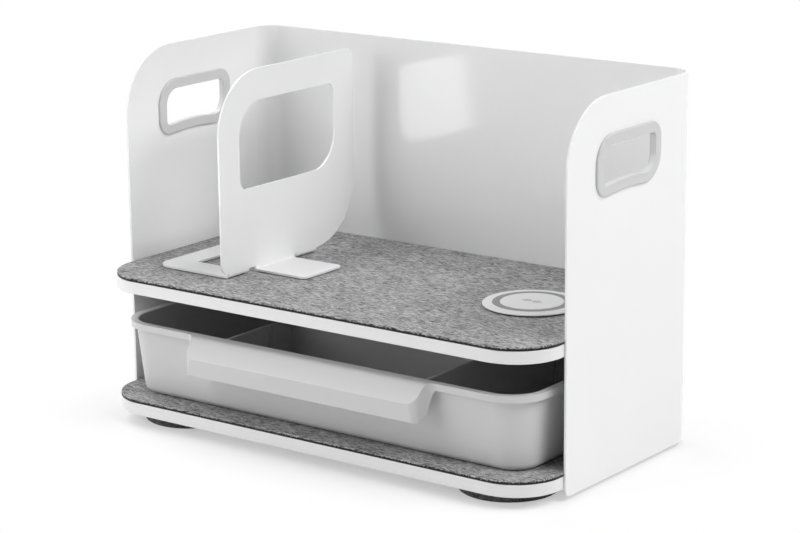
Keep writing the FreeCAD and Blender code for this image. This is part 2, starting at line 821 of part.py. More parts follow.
def puck_cover():
    """Cover that closes the tube, with four posts under the circuit board."""
    body = new_body("puck_cover")
    disc = sketch_on(body, "cover_disc", "XY_Plane", -d.puck_tube_length)
    add_circle(disc, 0.0, 0.0, d.puck_tube - d.puck_tube_wall - d.puck_gap)
    pad(body, disc, d.cover)
    posts = sketch_on(body, "cover_posts", "XY_Plane", -d.puck_tube_length + d.cover)
    reach = d.cover_post_circle
    for x, y in ((0.0, -reach), (-reach, 0.0), (0.0, reach), (reach, 0.0)):
        add_circle(posts, x, y, d.cover_post)
    pad(body, posts, d.cover_post_height)
    return puck_part(body)


def puck_nut():
    """Ring nut that clamps the housing to the board's underside."""
    top = -d.felt - d.board
    inner = d.puck_tube + d.puck_thread_play
    return puck_part(turned_part("puck_clamp_nut", [
        (inner, top - d.puck_nut_thick),
        (d.puck_nut, top - d.puck_nut_thick, d.puck_nut_edge),
        (d.puck_nut, top),
        (inner, top),
    ]))


# ---------------------------------------------------------------- drawer

tray_low = lower_felt_top + d.slide_gap
tray_rim_half = inner_half - d.tray_side_gap
tray_rim_low = d.tray_top - d.tray_lip
tray_middle = (wall_front - d.tray_rim_front + inner_back - d.tray_rim_back) / 2
tray_half_depth = (inner_back - d.tray_rim_back - wall_front + d.tray_rim_front) / 2


def tray_plan(sketch, inset, level):
    """Outline of the tray's wall, inset from its outside, at a level above the desk."""
    share = (d.tray_top - level) / (d.tray_top - tray_low)
    side = tray_rim_half - d.tray_overhang - d.tray_side_draft * share - inset
    front = -tray_half_depth + d.tray_overhang + d.tray_front_draft * share + inset
    back = tray_half_depth - d.tray_overhang - d.tray_side_draft * share - inset
    corner = d.tray_rim_corner - d.tray_overhang - d.tray_corner_draft * share - inset
    add_rectangle(sketch, -side, side, front, back, corner)


def wall_face(level, inset):
    """Y of the front wall's and of the back wall's face at a level, in the tray's own frame."""
    share = (d.tray_top - level) / (d.tray_top - tray_low)
    front = -tray_half_depth + d.tray_overhang + d.tray_front_draft * share + inset
    back = tray_half_depth - d.tray_overhang - d.tray_side_draft * share - inset
    return front, back


def from_tray(y):
    """A distance in front of the wall's front edge, as Y in the tray's own frame."""
    return wall_front - y - tray_middle


def handle_solid(body):
    """The hooded handle: its section over the whole length, ends swept into the rim, hollow."""
    length = d.handle_half + d.handle_flare
    seat = from_tray(d.tray_rim_front) + d.handle_wall
    brow = from_tray(d.handle_brow)
    crease = from_tray(d.handle_reach)
    lip = from_tray(d.handle_lip_reach)
    section = sketch_on(body, "handle_section", "YZ_Plane", -length)
    add_outline(section, [
        (seat, d.tray_top),
        (brow, d.tray_top, d.handle_brow_round),
        (crease, d.handle_crease, d.handle_edge),
        (lip, d.handle_lip, d.handle_edge),
        (from_tray(d.handle_heel), d.handle_lip, d.handle_heel_round),
        (from_tray(d.tray_rim_front), tray_rim_low),
        (seat, tray_rim_low),
    ])
    pad(body, section, 2 * length)
    ends = sketch_on(body, "handle_ends", "XY_Plane", d.handle_lip - CUT_ROOM)
    rim = from_tray(d.tray_rim_front)
    for side in (-1, 1):
        add_outline(ends, [
            (side * (length + CUT_ROOM), rim),
            (side * d.handle_half, rim, d.handle_flare),
            (side * d.handle_half, crease, d.handle_corner),
            (side * (d.handle_half - d.handle_corner - CUT_ROOM), crease),
            (side * (d.handle_half - d.handle_corner - CUT_ROOM), crease - CUT_ROOM),
            (side * (length + CUT_ROOM), crease - CUT_ROOM),
        ])
    pocket(body, ends, d.tray_top - d.handle_lip + 2 * CUT_ROOM)
    inner = d.handle_half - d.handle_end
    hollow = sketch_on(body, "handle_hollow", "YZ_Plane", -inner)
    add_outline(hollow, [
        (lip + d.handle_wall, d.handle_lip - CUT_ROOM),
        (crease + d.handle_wall, d.handle_crease - d.handle_edge, d.handle_edge),
        (brow - d.handle_edge, tray_rim_low, d.handle_edge),
        (rim + d.handle_wall / 2, tray_rim_low),
        (rim + d.handle_wall / 2, d.handle_lip - CUT_ROOM),
    ])
    pocket(body, hollow, 2 * inner)


def drawer_tray():
    """Moulded tray with its rim and handle."""
    body = new_body("drawer_tray")
    handle_solid(body)
    rim = sketch_on(body, "tray_rim", "XY_Plane", tray_rim_low)
    add_rectangle(rim, -tray_rim_half, tray_rim_half, -tray_half_depth, tray_half_depth,
                  d.tray_rim_corner)
    pad(body, rim, d.tray_lip)
    outer_low = sketch_on(body, "tray_outer", "XY_Plane", tray_low)
    tray_plan(outer_low, 0.0, tray_low)
    outer_high = sketch_on(body, "tray_outer_top", "XY_Plane", d.tray_top)
    tray_plan(outer_high, 0.0, d.tray_top)
    loft(body, "AdditiveLoft", outer_low, outer_high)
    fillet(body, "tray_foot", d.tray_foot_round, lambda point: near(point.z, tray_low))
    floor = tray_low + d.tray_wall
    inner_low = sketch_on(body, "tray_inner", "XY_Plane", floor)
    tray_plan(inner_low, d.tray_wall, floor)
    inner_high = sketch_on(body, "tray_inner_top", "XY_Plane", d.tray_top)
    tray_plan(inner_high, d.tray_wall, d.tray_top)
    loft(body, "SubtractiveLoft", inner_low, inner_high)
    fillet(body, "tray_floor", d.tray_foot_round - d.tray_wall,
           lambda point: near(point.z, floor))
    fillet(body, "tray_rim_inner", d.tray_rim_inner_round,
           lambda point: near(point.z, d.tray_top) and inside_tray(point))
    partition_ribs(body, floor)
    return place(body, y=tray_middle)


def inside_tray(point):
    """Whether a point of the top face belongs to the tray's mouth."""
    side = tray_rim_half - d.tray_overhang
    depth = tray_half_depth - d.tray_overhang
    return abs(point.x) < side and abs(point.y) < depth


def partition_ribs(body, floor):
    """Pairs of ribs on the front and back walls that hold the partitions."""
    top = d.tray_top - d.partition_drop
    base = floor + d.tray_foot_round - d.tray_wall
    front_low, back_low = wall_face(base, d.tray_wall / 2)
    front_high, back_high = wall_face(top, d.tray_wall / 2)
    reach = d.tray_wall / 2 + d.rib_reach
    offset = d.partition / 2 + d.partition_play / 2
    for side, name in ((-1, "left"), (1, "right")):
        for step, flank in ((-1, "a"), (1, "b")):
            middle = side * d.partition_side + step * (offset + d.rib / 2)
            ribs = sketch_on(body, f"ribs_{name}_{flank}", "YZ_Plane", middle - d.rib / 2)
            add_outline(ribs, [(front_low, base), (front_low + reach, base),
                               (front_high + reach, top), (front_high, top)])
            add_outline(ribs, [(back_low - reach, base), (back_low, base),
                               (back_high, top), (back_high - reach, top)])
            pad(body, ribs, d.rib)


def cross_middle(slot):
    """Middle of a cross slot, from the tray's middle: 0 is the front one, 1 the rear one."""
    return from_tray(0.0) + d.cross_slot + slot * d.cross_slot_pitch


def drawer_partition(side, name):
    """A thin wall across the tray, with slots for a cross wall on its inner face."""
    body = new_body(f"drawer_partition_{name}")
    floor = tray_low + d.tray_wall + d.slide_gap
    top = d.tray_top - d.partition_drop
    gap = d.tray_wall + d.partition_play
    front_low, back_low = wall_face(floor, gap)
    front_high, back_high = wall_face(top, gap)
    round_low = d.tray_foot_round
    plate = sketch_on(body, f"partition_plate_{name}", "YZ_Plane", -d.partition / 2)
    add_outline(plate, [
        (front_low, floor, round_low),
        (back_low, floor, round_low),
        (back_high, top),
        (front_high, top),
    ])
    pad(body, plate, d.partition)
    fillet(body, f"partition_edge_{name}", d.partition_edge,
           lambda point: near(point.z, top) and near(abs(point.x), d.partition / 2))
    ribs = sketch_on(body, f"cross_ribs_{name}", "XY_Plane", floor)
    reach = -side * (d.partition / 2 + d.cross_rib)
    for slot in (0, 1):
        for step in (-1, 1):
            centre = cross_middle(slot) + step * (d.cross_rib_gap + d.cross_rib) / 2
            add_rectangle(ribs, min(0.0, reach), max(0.0, reach),
                          centre - d.cross_rib / 2, centre + d.cross_rib / 2)
    pad(body, ribs, top - floor - d.cross_rib)
    return place(body, side * d.partition_side, tray_middle)


def drawer_cross_wall():
    """A thin wall between the partitions, held in their rear cross slots."""
    body = new_body("drawer_cross_wall")
    floor = tray_low + d.tray_wall + d.slide_gap
    top = d.tray_top - d.partition_drop
    half_length = d.partition_side - d.partition / 2 - d.cross_play
    half_thick = d.cross_rib_gap / 2 - d.cross_play
    plan = sketch_on(body, "cross_wall_plan", "XY_Plane", floor)
    add_rectangle(plan, -half_length, half_length, -half_thick, half_thick)
    pad(body, plan, top - floor)
    fillet(body, "cross_wall_edge", d.partition_edge,
           lambda point: near(point.z, top) and near(abs(point.y), half_thick))
    return place(body, y=tray_middle + cross_middle(1))


# ---------------------------------------------------------------- divider

divider_x = -half_width + d.divider_left
divider_low = upper_felt_top + d.slide_gap + d.grip_pad
bend_top = d.divider_bend + d.divider_relief
foot_front = wall_front - d.foot_frame_front
foot_back = wall_front + d.foot_frame_back
tab_start = wall_front + d.tab_front
tab_end = wall_front + d.tab_back
slot_start = tab_start - d.tab_front_slot
slot_end = tab_end + d.tab_back_slot


def divider_plate():
    """One bent sheet: upright with a window, foot frame bent left, tab bent right."""
    body = new_body("divider_plate")
    half = d.sheet / 2
    upright = sketch_on(body, "divider_upright", "YZ_Plane", -half)
    front = wall_front - d.divider_front
    back = wall_front + d.divider_back
    height = d.divider_top - divider_low
    add_outline(upright, [
        (front, bend_top, d.divider_chin),
        (back, bend_top, d.divider_heel),
        (back, height, d.divider_nape),
        (front, height, d.divider_crown),
    ])
    pad(body, upright, d.sheet)
    window = sketch_on(body, "divider_window", "YZ_Plane", -half - CUT_ROOM)
    low, high = d.window_low - divider_low, d.window_high - divider_low
    add_outline(window, [
        (wall_front + d.window_front, low, d.window_tight),
        (wall_front + d.window_back, low, d.window_round),
        (wall_front + d.window_back, high, d.window_tight),
        (wall_front + d.window_front, high, d.window_round),
    ])
    pocket(body, window, d.sheet + 2 * CUT_ROOM)
    bent_leg(body, "frame_front", -1, foot_front, slot_start, d.foot_frame_width)
    bent_leg(body, "frame_rear", -1, slot_end, foot_back, d.foot_frame_width)
    bent_leg(body, "tab", 1, tab_start, tab_end, d.tab_width)
    strip = sketch_on(body, "frame_strip", "XY_Plane")
    add_rectangle(strip, -d.foot_frame_width, -d.foot_frame_width + d.foot_frame_strip,
                  slot_start - CUT_ROOM, slot_end + CUT_ROOM)
    pad(body, strip, d.sheet)
    fillet(body, "frame_corners", d.foot_frame_corner,
           lambda point: near(point.x, -d.foot_frame_width)
           and (near(point.y, foot_front) or near(point.y, foot_back)))
    fillet(body, "tab_corners", d.tab_corner,
           lambda point: near(point.x, d.tab_width)
           and (near(point.y, tab_start) or near(point.y, tab_end)))
    return place(body, divider_x, z=divider_low)


def bent_leg(body, name, side, start, end, width):
    """A leg bent out of the upright to one side, joined to it over one sheet's thickness."""
    half = d.sheet / 2
    section = sketch_on(body, f"bent_{name}", "XZ_Plane", -end)
    add_outline(section, [
        (side * width, 0.0),
        (-side * half, 0.0, d.divider_bend),
        (-side * half, bend_top + d.sheet),
        (side * half, bend_top + d.sheet),
        (side * half, d.sheet, d.divider_bend - d.sheet),
        (side * width, d.sheet),
    ])
    pad(body, section, end - start)


def grip_pads():
    """Thin pads that keep the divider from slipping on the felt."""
    inset = d.grip_pad_inset
    bend = d.divider_bend
    front = foot_front + inset
    back = foot_back - inset
    left = -d.foot_frame_width + inset
    frame = new_body("divider_frame_pad")
    plan = sketch_on(frame, "frame_pad_plan", "XY_Plane")
    corner = d.foot_frame_corner - inset
    strip = -d.foot_frame_width + d.foot_frame_strip - inset
    add_outline(plan, [
        (left, front, corner),
        (-bend, front),
        (-bend, slot_start - inset),
        (strip, slot_start - inset),
        (strip, slot_end + inset),
        (-bend, slot_end + inset),
        (-bend, back),
        (left, back, corner),
    ])
    pad(frame, plan, d.grip_pad)
    tab = new_body("divider_tab_pad")
    area = sketch_on(tab, "tab_pad_plan", "XY_Plane")
    add_rectangle(area, bend, d.tab_width - inset, tab_start + inset, tab_end - inset,
                  d.tab_corner - inset)
    pad(tab, area, d.grip_pad)
    level = upper_felt_top + d.slide_gap
    return [place(frame, divider_x, z=level), place(tab, divider_x, z=level)]


# ---------------------------------------------------------------- the whole organizer

def build():
    """Every sub-part, in the order of assembly."""
    parts = [steel_wrap()]
    for side, name in ((-1, "left"), (1, "right")):
        parts.append(grip_bezel_outer(side, name))
        parts.append(grip_bezel_inner(side, name))
    parts.append(shelf_board("lower_shelf_board", lower_height, False, True))
    parts.append(shelf_board("upper_shelf_board", d.upper_height, True, False))
    parts.append(felt_mat("lower_felt_mat", lower_height + d.board, False))
    parts.append(felt_mat("upper_felt_mat", d.upper_height + d.board, True))
    parts += shelf_angles()
    parts.append(screw_group("lower_shelf_screws", shelf_screw_points(), d.sheet, lower_height))
    parts.append(screw_group("upper_shelf_screws", shelf_screw_points(), d.sheet,
                             d.upper_height))
    parts += felt_feet()
    parts.append(foot_washers())
    parts.append(screw_group("foot_screws", foot_points(), d.foot_web + d.washer,
                             d.foot_height))
    parts += [puck_housing(), puck_ring(), puck_disc(), puck_coil(), puck_ferrite(),
              puck_circuit(), puck_inlet(), puck_cover(), puck_nut()]
    parts.append(drawer_tray())
    parts += [drawer_partition(-1, "left"), drawer_partition(1, "right"), drawer_cross_wall()]
    parts.append(divider_plate())
    parts += grip_pads()
    return parts


def check(parts):
    """Stop if any object failed or any sub-part has no valid shape."""
    doc.recompute()
    for item in doc.Objects:
        if "Invalid" in item.State or "Error" in item.State:
            raise RuntimeError(f"{item.Name} failed: {item.State}")
    for part in parts:
        if part.Shape.isNull() or not part.Shape.isValid() or not part.Shape.Solids:
            raise RuntimeError(f"{part.Label} has no valid solid")


def export(parts):
    """One STEP file for each sub-part."""
    os.makedirs("parts", exist_ok=True)
    for part in parts:
        part.Shape.exportStep(f"parts/{part.Label}.step")
        box = part.Shape.BoundBox
        print(f"{part.Label}: {len(part.Shape.Solids)} solid(s), {part.Shape.Volume:.0f} mm3, "
              f"x {box.XMin:.1f}..{box.XMax:.1f} y {box.YMin:.1f}..{box.YMax:.1f} "
              f"z {box.ZMin:.1f}..{box.ZMax:.1f}")


parts = build()
check(parts)
export(parts)
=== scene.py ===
import functools
import math

import bmesh
import bpy
from bpy.props import FloatProperty, FloatVectorProperty, IntProperty, PointerProperty
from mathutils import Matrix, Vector, geometry, kdtree, noise


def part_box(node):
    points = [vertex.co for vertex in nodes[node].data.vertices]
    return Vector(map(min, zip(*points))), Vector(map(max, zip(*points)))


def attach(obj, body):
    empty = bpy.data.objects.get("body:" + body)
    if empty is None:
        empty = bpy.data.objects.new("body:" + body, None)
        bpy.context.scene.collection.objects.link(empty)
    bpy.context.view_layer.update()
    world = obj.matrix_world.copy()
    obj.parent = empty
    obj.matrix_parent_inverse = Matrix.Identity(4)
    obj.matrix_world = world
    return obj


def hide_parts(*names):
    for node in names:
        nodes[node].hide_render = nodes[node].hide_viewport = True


bl_info = {
    "name": "Desk Organizer Finish",
    "version": (1, 0, 0),
    "blender": (4, 5, 0),
    "location": "3D View > Sidebar > Organizer",
    "description": "Coats, felt, hardware and studio for the desk organizer",
    "category": "Object",
}

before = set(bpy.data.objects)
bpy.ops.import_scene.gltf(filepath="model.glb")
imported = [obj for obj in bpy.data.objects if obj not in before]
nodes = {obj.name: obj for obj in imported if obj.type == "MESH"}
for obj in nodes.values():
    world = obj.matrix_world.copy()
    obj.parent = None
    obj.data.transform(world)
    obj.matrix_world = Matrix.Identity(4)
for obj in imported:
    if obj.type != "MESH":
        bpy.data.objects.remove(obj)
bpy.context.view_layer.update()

MM = 0.001


# ---------------------------------------------------------------- sizes and colours

def length(name, description, default, low=0.0):
    """A length that the user may change, in metres."""
    return FloatProperty(name=name, description=description, default=default, min=low,
                         unit="LENGTH", precision=5)


def share(name, description, default):
    """A number from 0 to 1."""
    return FloatProperty(name=name, description=description, default=default, min=0.0,
                         max=1.0, subtype="FACTOR")


def shade(name, description, default):
    """A colour, linear."""
    return FloatVectorProperty(name=name, description=description, default=default,
                               size=3, min=0.0, max=1.0, subtype="COLOR")


def watts(name, description, default):
    """A lamp's power."""
    return FloatProperty(name=name, description=description, default=default, min=0.0,
                         unit="POWER")


class CoatSettings(bpy.types.PropertyGroup):
    """White paint on the steel and lacquer on the boards."""

    steel: shade("Steel coat", "Colour of the powder coat", (0.83, 0.83, 0.835))
    gloss: share("Coat roughness", "How dull the powder coat is", 0.34)
    glaze: share("Top gloss", "Share of the sharper gloss on the coat", 0.5)
    peel: length("Orange peel", "Width of the coat's fine waves", 1.6 * MM)
    lacquer: shade("Board lacquer", "Colour of the boards", (0.77, 0.77, 0.77))


class PlasticSettings(bpy.types.PropertyGroup):
    """Moulded parts."""

    tray: shade("Tray", "Colour of the drawer", (0.57, 0.57, 0.57))
    bezel: shade("Bezels", "Colour of the grip bezels", (0.57, 0.57, 0.57))
    puck: shade("Charger", "Colour of the charger's band and disc", (0.74, 0.74, 0.74))
    ring: shade("Grip ring", "Colour of the charger's soft ring", (0.25, 0.25, 0.25))
    grain: length("Mould grain", "Width of the moulded grain", 0.7 * MM)


class FeltSettings(bpy.types.PropertyGroup):
    """Pressed wool felt of the mats and feet."""

    dark: shade("Dark fibre", "Darkest fibres of the mats", (0.03, 0.03, 0.03))
    light: shade("Light fibre", "Lightest fibres of the mats", (0.51, 0.51, 0.51))
    burn: shade("Cut edge", "Colour of the laser-cut edge", (0.012, 0.012, 0.012))
    foot_dark: shade("Foot, dark fibre", "Darkest fibres of the feet", (0.02, 0.02, 0.02))
    foot_light: shade("Foot, light fibre", "Lightest fibres of the feet", (0.15, 0.15, 0.15))
    grid: length("Grid", "Spacing of a mat's points", 2.4 * MM, 0.5 * MM)
    relief: length("Relief", "Unevenness of the felt", 0.12 * MM)
    fibre: length("Fibre length", "Length of a loose fibre", 2.6 * MM)
    fibre_radius: length("Fibre radius", "Half of a fibre's thickness", 0.035 * MM)
    fibre_rate: FloatProperty(name="Fibres", description="Loose fibres per square metre",
                              default=32000.0, min=0.0)
    seed: IntProperty(name="Seed", description="Where the loose fibres lie", default=11)


class HardwareSettings(bpy.types.PropertyGroup):
    """Screws and the wound coil."""

    thread: length("Thread pitch", "Rise of a screw's thread in one turn", 1.4 * MM)
    thread_depth: length("Thread depth", "Height of the thread's ridge", 0.4 * MM)
    recess: length("Recess", "Half the span of the cross recess", 1.9 * MM)
    wire: length("Wire radius", "Half of the coil wire's thickness", 0.41 * MM)
    turns: FloatProperty(name="Turns", description="Turns of the coil", default=13.0)


class StudioSettings(bpy.types.PropertyGroup):
    """Floor, lamps and camera."""

    floor: shade("Floor", "Colour of the floor", (0.93, 0.93, 0.93))
    sky: FloatProperty(name="Fill", description="Even light from all round", default=0.08)
    key: watts("Key lamp", "High lamp at the right", 57.0)
    low_left: watts("Low left lamp", "Lamp at the left, near the object's height", 5.0)
    low_front: watts("Low front lamp", "Lamp in front, near the object's height", 7.0)
    high_front: watts("High front lamp", "Lamp above the front", 8.0)
    high_left: watts("High left lamp", "Lamp above the left side", 13.5)
    behind: watts("Rear lamp", "Lamp behind the right side", 8.0)
    panel: watts("Low panel", "Small panel that shows only in gloss, at the left", 0.125)


class OrganizerSettings(bpy.types.PropertyGroup):
    """All of the organizer's settings."""

    coat: PointerProperty(type=CoatSettings, name="Coats")
    plastic: PointerProperty(type=PlasticSettings, name="Plastics")
    felt: PointerProperty(type=FeltSettings, name="Felt")
    hardware: PointerProperty(type=HardwareSettings, name="Hardware")
    studio: PointerProperty(type=StudioSettings, name="Studio")


def settings():
    """The scene's own settings."""
    return bpy.context.scene.organizer


# ---------------------------------------------------------------- node trees

def add(tree, kind, inputs=None, **options):
    """A node with its options set and its inputs given a value or linked to an output."""
    node = tree.nodes.new(kind)
    for key, value in options.items():
        setattr(node, key, value)
    for key, value in (inputs or {}).items():
        socket = node.inputs[key]
        if isinstance(value, bpy.types.NodeSocket):
            tree.links.new(value, socket)
        elif isinstance(value, bpy.types.Node):
            tree.links.new(value.outputs[0], socket)
        else:
            socket.default_value = value
    return node


def math_node(tree, operation, first, second=0.0, clamp=False):
    """One sum on values."""
    return add(tree, "ShaderNodeMath", {0: first, 1: second}, operation=operation,
               use_clamp=clamp).outputs[0]


def blend_colours(tree, factor, first, second):
    """A colour between two."""
    return add(tree, "ShaderNodeMix", {0: factor, 6: first, 7: second},
               data_type="RGBA").outputs[2]


def spread(tree, value, low, high, to_low=0.0, to_high=1.0):
    """Maps a value's range to another, held at its ends."""
    return add(tree, "ShaderNodeMapRange",
               {"Value": value, "From Min": low, "From Max": high,
                "To Min": to_low, "To Max": to_high}).outputs["Result"]


def noise_at(tree, vector, scale, detail=2.0, roughness=0.5, distortion=0.0):
    """Noise from 0 to 1."""
    return add(tree, "ShaderNodeTexNoise",
               {"Vector": vector, "Scale": scale, "Detail": detail,
                "Roughness": roughness, "Distortion": distortion}).outputs["Fac"]


def colour4(colour, factor=1.0):
    """A colour with alpha, lighter or darker by a factor."""
    return (*(min(1.0, c * factor) for c in colour), 1.0)


def new_tree(name, kind, inputs, outputs):
    """An empty node group with named sockets, and its two ends."""
    tree = bpy.data.node_groups.new(name, kind)
    for label, socket_type, default in inputs:
        socket = tree.interface.new_socket(label, in_out="INPUT", socket_type=socket_type)
        if default is not None:
            socket.default_value = default
    for label, socket_type in outputs:
        tree.interface.new_socket(label, in_out="OUTPUT", socket_type=socket_type)
    return tree, tree.nodes.new("NodeGroupInput"), tree.nodes.new("NodeGroupOutput")


def feed(tree, node, **values):
    """Links outputs to a node's inputs."""
    for label, value in values.items():
        tree.links.new(value, node.inputs[label.replace("_", " ")])


FLOAT, COLOUR = "NodeSocketFloat", "NodeSocketColor"
WHITE = (1.0, 1.0, 1.0, 1.0)


def made_once(name):
    """Keeps the node tree that a function makes under a name, and gives it out again."""
    def wrap(make):
        @functools.wraps(make)
        def once():
            return bpy.data.node_groups.get(name) or make(name)
        return once
    return wrap


@made_once("Surface waves")
def surface_waves(name):
    """Fine waves and specks of a coat or a moulding, with slow patches."""
    tree, start, end = new_tree(
        name, "ShaderNodeTree",
        [("Wave scale", FLOAT, 600.0), ("Speck scale", FLOAT, 3000.0),
         ("Speck share", FLOAT, 0.3), ("Patch scale", FLOAT, 12.0)],
        [("Height", FLOAT), ("Patch", FLOAT), ("Specks", FLOAT)])
    place = add(tree, "ShaderNodeTexCoord").outputs["Object"]
    waves = noise_at(tree, place, start.outputs["Wave scale"], 1.0)
    specks = noise_at(tree, place, start.outputs["Speck scale"], 2.0, 0.6)
    patch = noise_at(tree, place, start.outputs["Patch scale"], 3.0, 0.55, 0.3)
    height = add(tree, "ShaderNodeMix", {0: start.outputs["Speck share"], 2: waves,
                                         3: specks}, data_type="FLOAT").outputs[0]
    feed(tree, end, Height=height, Patch=patch, Specks=specks)
    return tree


# turn about the upright line, stretch along X, Y and Z, and share of each layer of fibres
FIBRE_LAYERS = ((0.06, (0.9, 6.0, 6.0), 0.42), (-0.5, (1.3, 7.0, 7.0), 0.2),
                (0.62, (1.5, 7.5, 7.5), 0.2), (1.5, (2.4, 8.0, 8.0), 0.18))
FIBRE_WANDER = 6.0 * MM


@made_once("Felt fibres")
def felt_fibres(name):
    """Matted light and dark fibres that run mostly along X."""
    tree, start, end = new_tree(
        name, "ShaderNodeTree",
        [("Dark", COLOUR, (0.1, 0.1, 0.1, 1.0)), ("Light", COLOUR, (0.5, 0.5, 0.5, 1.0)),
         ("Streak scale", FLOAT, 190.0)],
        [("Colour", COLOUR), ("Height", FLOAT), ("Patch", FLOAT)])
    place = add(tree, "ShaderNodeTexCoord").outputs["Object"]
    wander = add(tree, "ShaderNodeTexNoise", {"Vector": place, "Scale": 45.0,
                                              "Detail": 2.0}).outputs["Color"]
    shift = add(tree, "ShaderNodeVectorMath", {0: wander, 1: (-0.5, -0.5, -0.5)},
                operation="ADD").outputs[0]
    drift = add(tree, "ShaderNodeVectorMath", {0: shift, "Scale": FIBRE_WANDER},
                operation="SCALE").outputs[0]
    bent = add(tree, "ShaderNodeVectorMath", {0: place, 1: drift},
               operation="ADD").outputs[0]
    total = 0.0
    for turn, stretch, part in FIBRE_LAYERS:
        laid = add(tree, "ShaderNodeMapping", {"Vector": bent, "Scale": stretch,
                                               "Rotation": (0.0, 0.0, turn)})
        layer = noise_at(tree, laid.outputs[0], start.outputs["Streak scale"], 3.0, 0.62)
        total = math_node(tree, "ADD", math_node(tree, "MULTIPLY", layer, part), total)
    patch = noise_at(tree, place, 60.0, 3.0, 0.6, 0.4)
    tone = math_node(tree, "ADD", spread(tree, total, 0.42, 0.58),
                     spread(tree, patch, 0.3, 0.7, -0.1, 0.1), clamp=True)
    colour = blend_colours(tree, tone, start.outputs["Dark"], start.outputs["Light"])
    feed(tree, end, Colour=colour, Height=total, Patch=patch)
    return tree


def new_material(name, **constants):
    """A material with a Principled shader, and its tree."""
    material = bpy.data.materials.new(name)
    material.use_nodes = True
    tree = material.node_tree
    shader = tree.nodes["Principled BSDF"]
    for label, value in constants.items():
        shader.inputs[label.replace("_", " ")].default_value = value
    return material, tree, shader


def use_group(tree, group, **values):
    """A group placed in a material with its own values."""
    node = add(tree, "ShaderNodeGroup", node_tree=group)
    for label, value in values.items():
        node.inputs[label.replace("_", " ")].default_value = value
    return node


def bump(tree, shader, height, distance):
    """Relief of the surface, in metres."""
    node = add(tree, "ShaderNodeBump", {"Height": height, "Distance": distance,
                                        "Strength": 1.0})
    feed(tree, shader, Normal=node.outputs["Normal"])


def coated(name, colour, wave, depth, rough, specks=0.3, tint=0.03, rough_swing=0.06,
           patch=14.0, **constants):
    """A smooth hard surface: fine waves, slow patches of colour and of dullness."""
    material, tree, shader = new_material(name, **constants)
    waves = use_group(tree, surface_waves(), Wave_scale=1.0 / wave,
                      Speck_scale=5.0 / wave, Speck_share=specks, Patch_scale=patch)
    tone = blend_colours(tree, waves.outputs["Patch"], colour4(colour, 1.0 - tint),
                         colour4(colour, 1.0 + tint))
    dull = spread(tree, waves.outputs["Patch"], 0.25, 0.75, rough - rough_swing,
                  rough + rough_swing)
    feed(tree, shader, Base_Color=tone, Roughness=dull)
    bump(tree, shader, waves.outputs["Height"], depth)
    return material


# how far down a mat's side its burnt edge begins, and how far its noise moves that
BURN_START, BURN_FADE, BURN_RAGGED = 1.0 * MM, 0.4 * MM, 0.7 * MM


def felt_material(name, dark, light, burn=None):
    """Felt: streaked fibres, fine nap, and a burnt cut edge where the piece has one."""
    material, tree, shader = new_material(name, Sheen_Weight=0.15, Sheen_Roughness=0.6,
                                          Roughness=1.0, Specular_IOR_Level=0.1)
    fibres = use_group(tree, felt_fibres(), Dark=colour4(dark), Light=colour4(light))
    tone = fibres.outputs["Colour"]
    if burn:
        rim = add(tree, "ShaderNodeAttribute", attribute_name="rim").outputs["Fac"]
        place = add(tree, "ShaderNodeTexCoord").outputs["Object"]
        ragged = noise_at(tree, place, 620.0, 3.0, 0.75)
        reach = math_node(tree, "ADD", rim, spread(tree, ragged, 0.3, 0.7, -BURN_RAGGED,
                                                   BURN_RAGGED))
        mask = spread(tree, reach, -BURN_START - BURN_FADE, -BURN_START, 1.0, 0.0)
        tone = blend_colours(tree, mask, tone, colour4(burn))
    feed(tree, shader, Base_Color=tone)
    bump(tree, shader, fibres.outputs["Height"], 0.35 * MM)
    return material


def metal_material(name, colour, rough):
    """Plated metal with fine wear."""
    material, tree, shader = new_material(name, Metallic=1.0)
    waves = use_group(tree, surface_waves(), Wave_scale=1800.0, Speck_scale=6000.0,
                      Speck_share=0.5, Patch_scale=180.0)
    tone = blend_colours(tree, waves.outputs["Patch"], colour4(colour, 0.85),
                         colour4(colour, 1.1))
    dull = spread(tree, waves.outputs["Specks"], 0.3, 0.7, rough - 0.1, rough + 0.12)
    feed(tree, shader, Base_Color=tone, Roughness=dull)
    bump(tree, shader, waves.outputs["Height"], 0.02 * MM)
    return material


# ---------------------------------------------------------------- pieces

def dress(names, material):
    """Gives CAD nodes a finish."""
    for name in names:
        for holder in nodes[name].material_slots:
            holder.material = material


def called(words):
    """The CAD nodes whose names hold these words."""
    return [name for name in nodes if words in name]


def finish_piece(piece, body, material=None, replaced=(), smooth=True):
    """Puts a new piece on its body, with its finish and what it stands for."""
    if piece.name not in bpy.context.scene.collection.all_objects:
        bpy.context.scene.collection.objects.link(piece)
    if material:
        piece.data.materials.clear()
        piece.data.materials.append(material)
    if smooth:
        piece.data.shade_smooth()
    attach(piece, body)
    if replaced:
        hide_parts(*replaced)
    return piece


def mesh_piece(name, build):
    """A new object whose mesh a function fills, with its normals outwards."""
    mesh = bpy.data.meshes.new(name)
    shape = bmesh.new()
    build(shape)
    bmesh.ops.remove_doubles(shape, verts=shape.verts, dist=1e-7)
    bmesh.ops.recalc_face_normals(shape, faces=shape.faces)
    shape.to_mesh(mesh)
    shape.free()
    return bpy.data.objects.new(name, mesh)


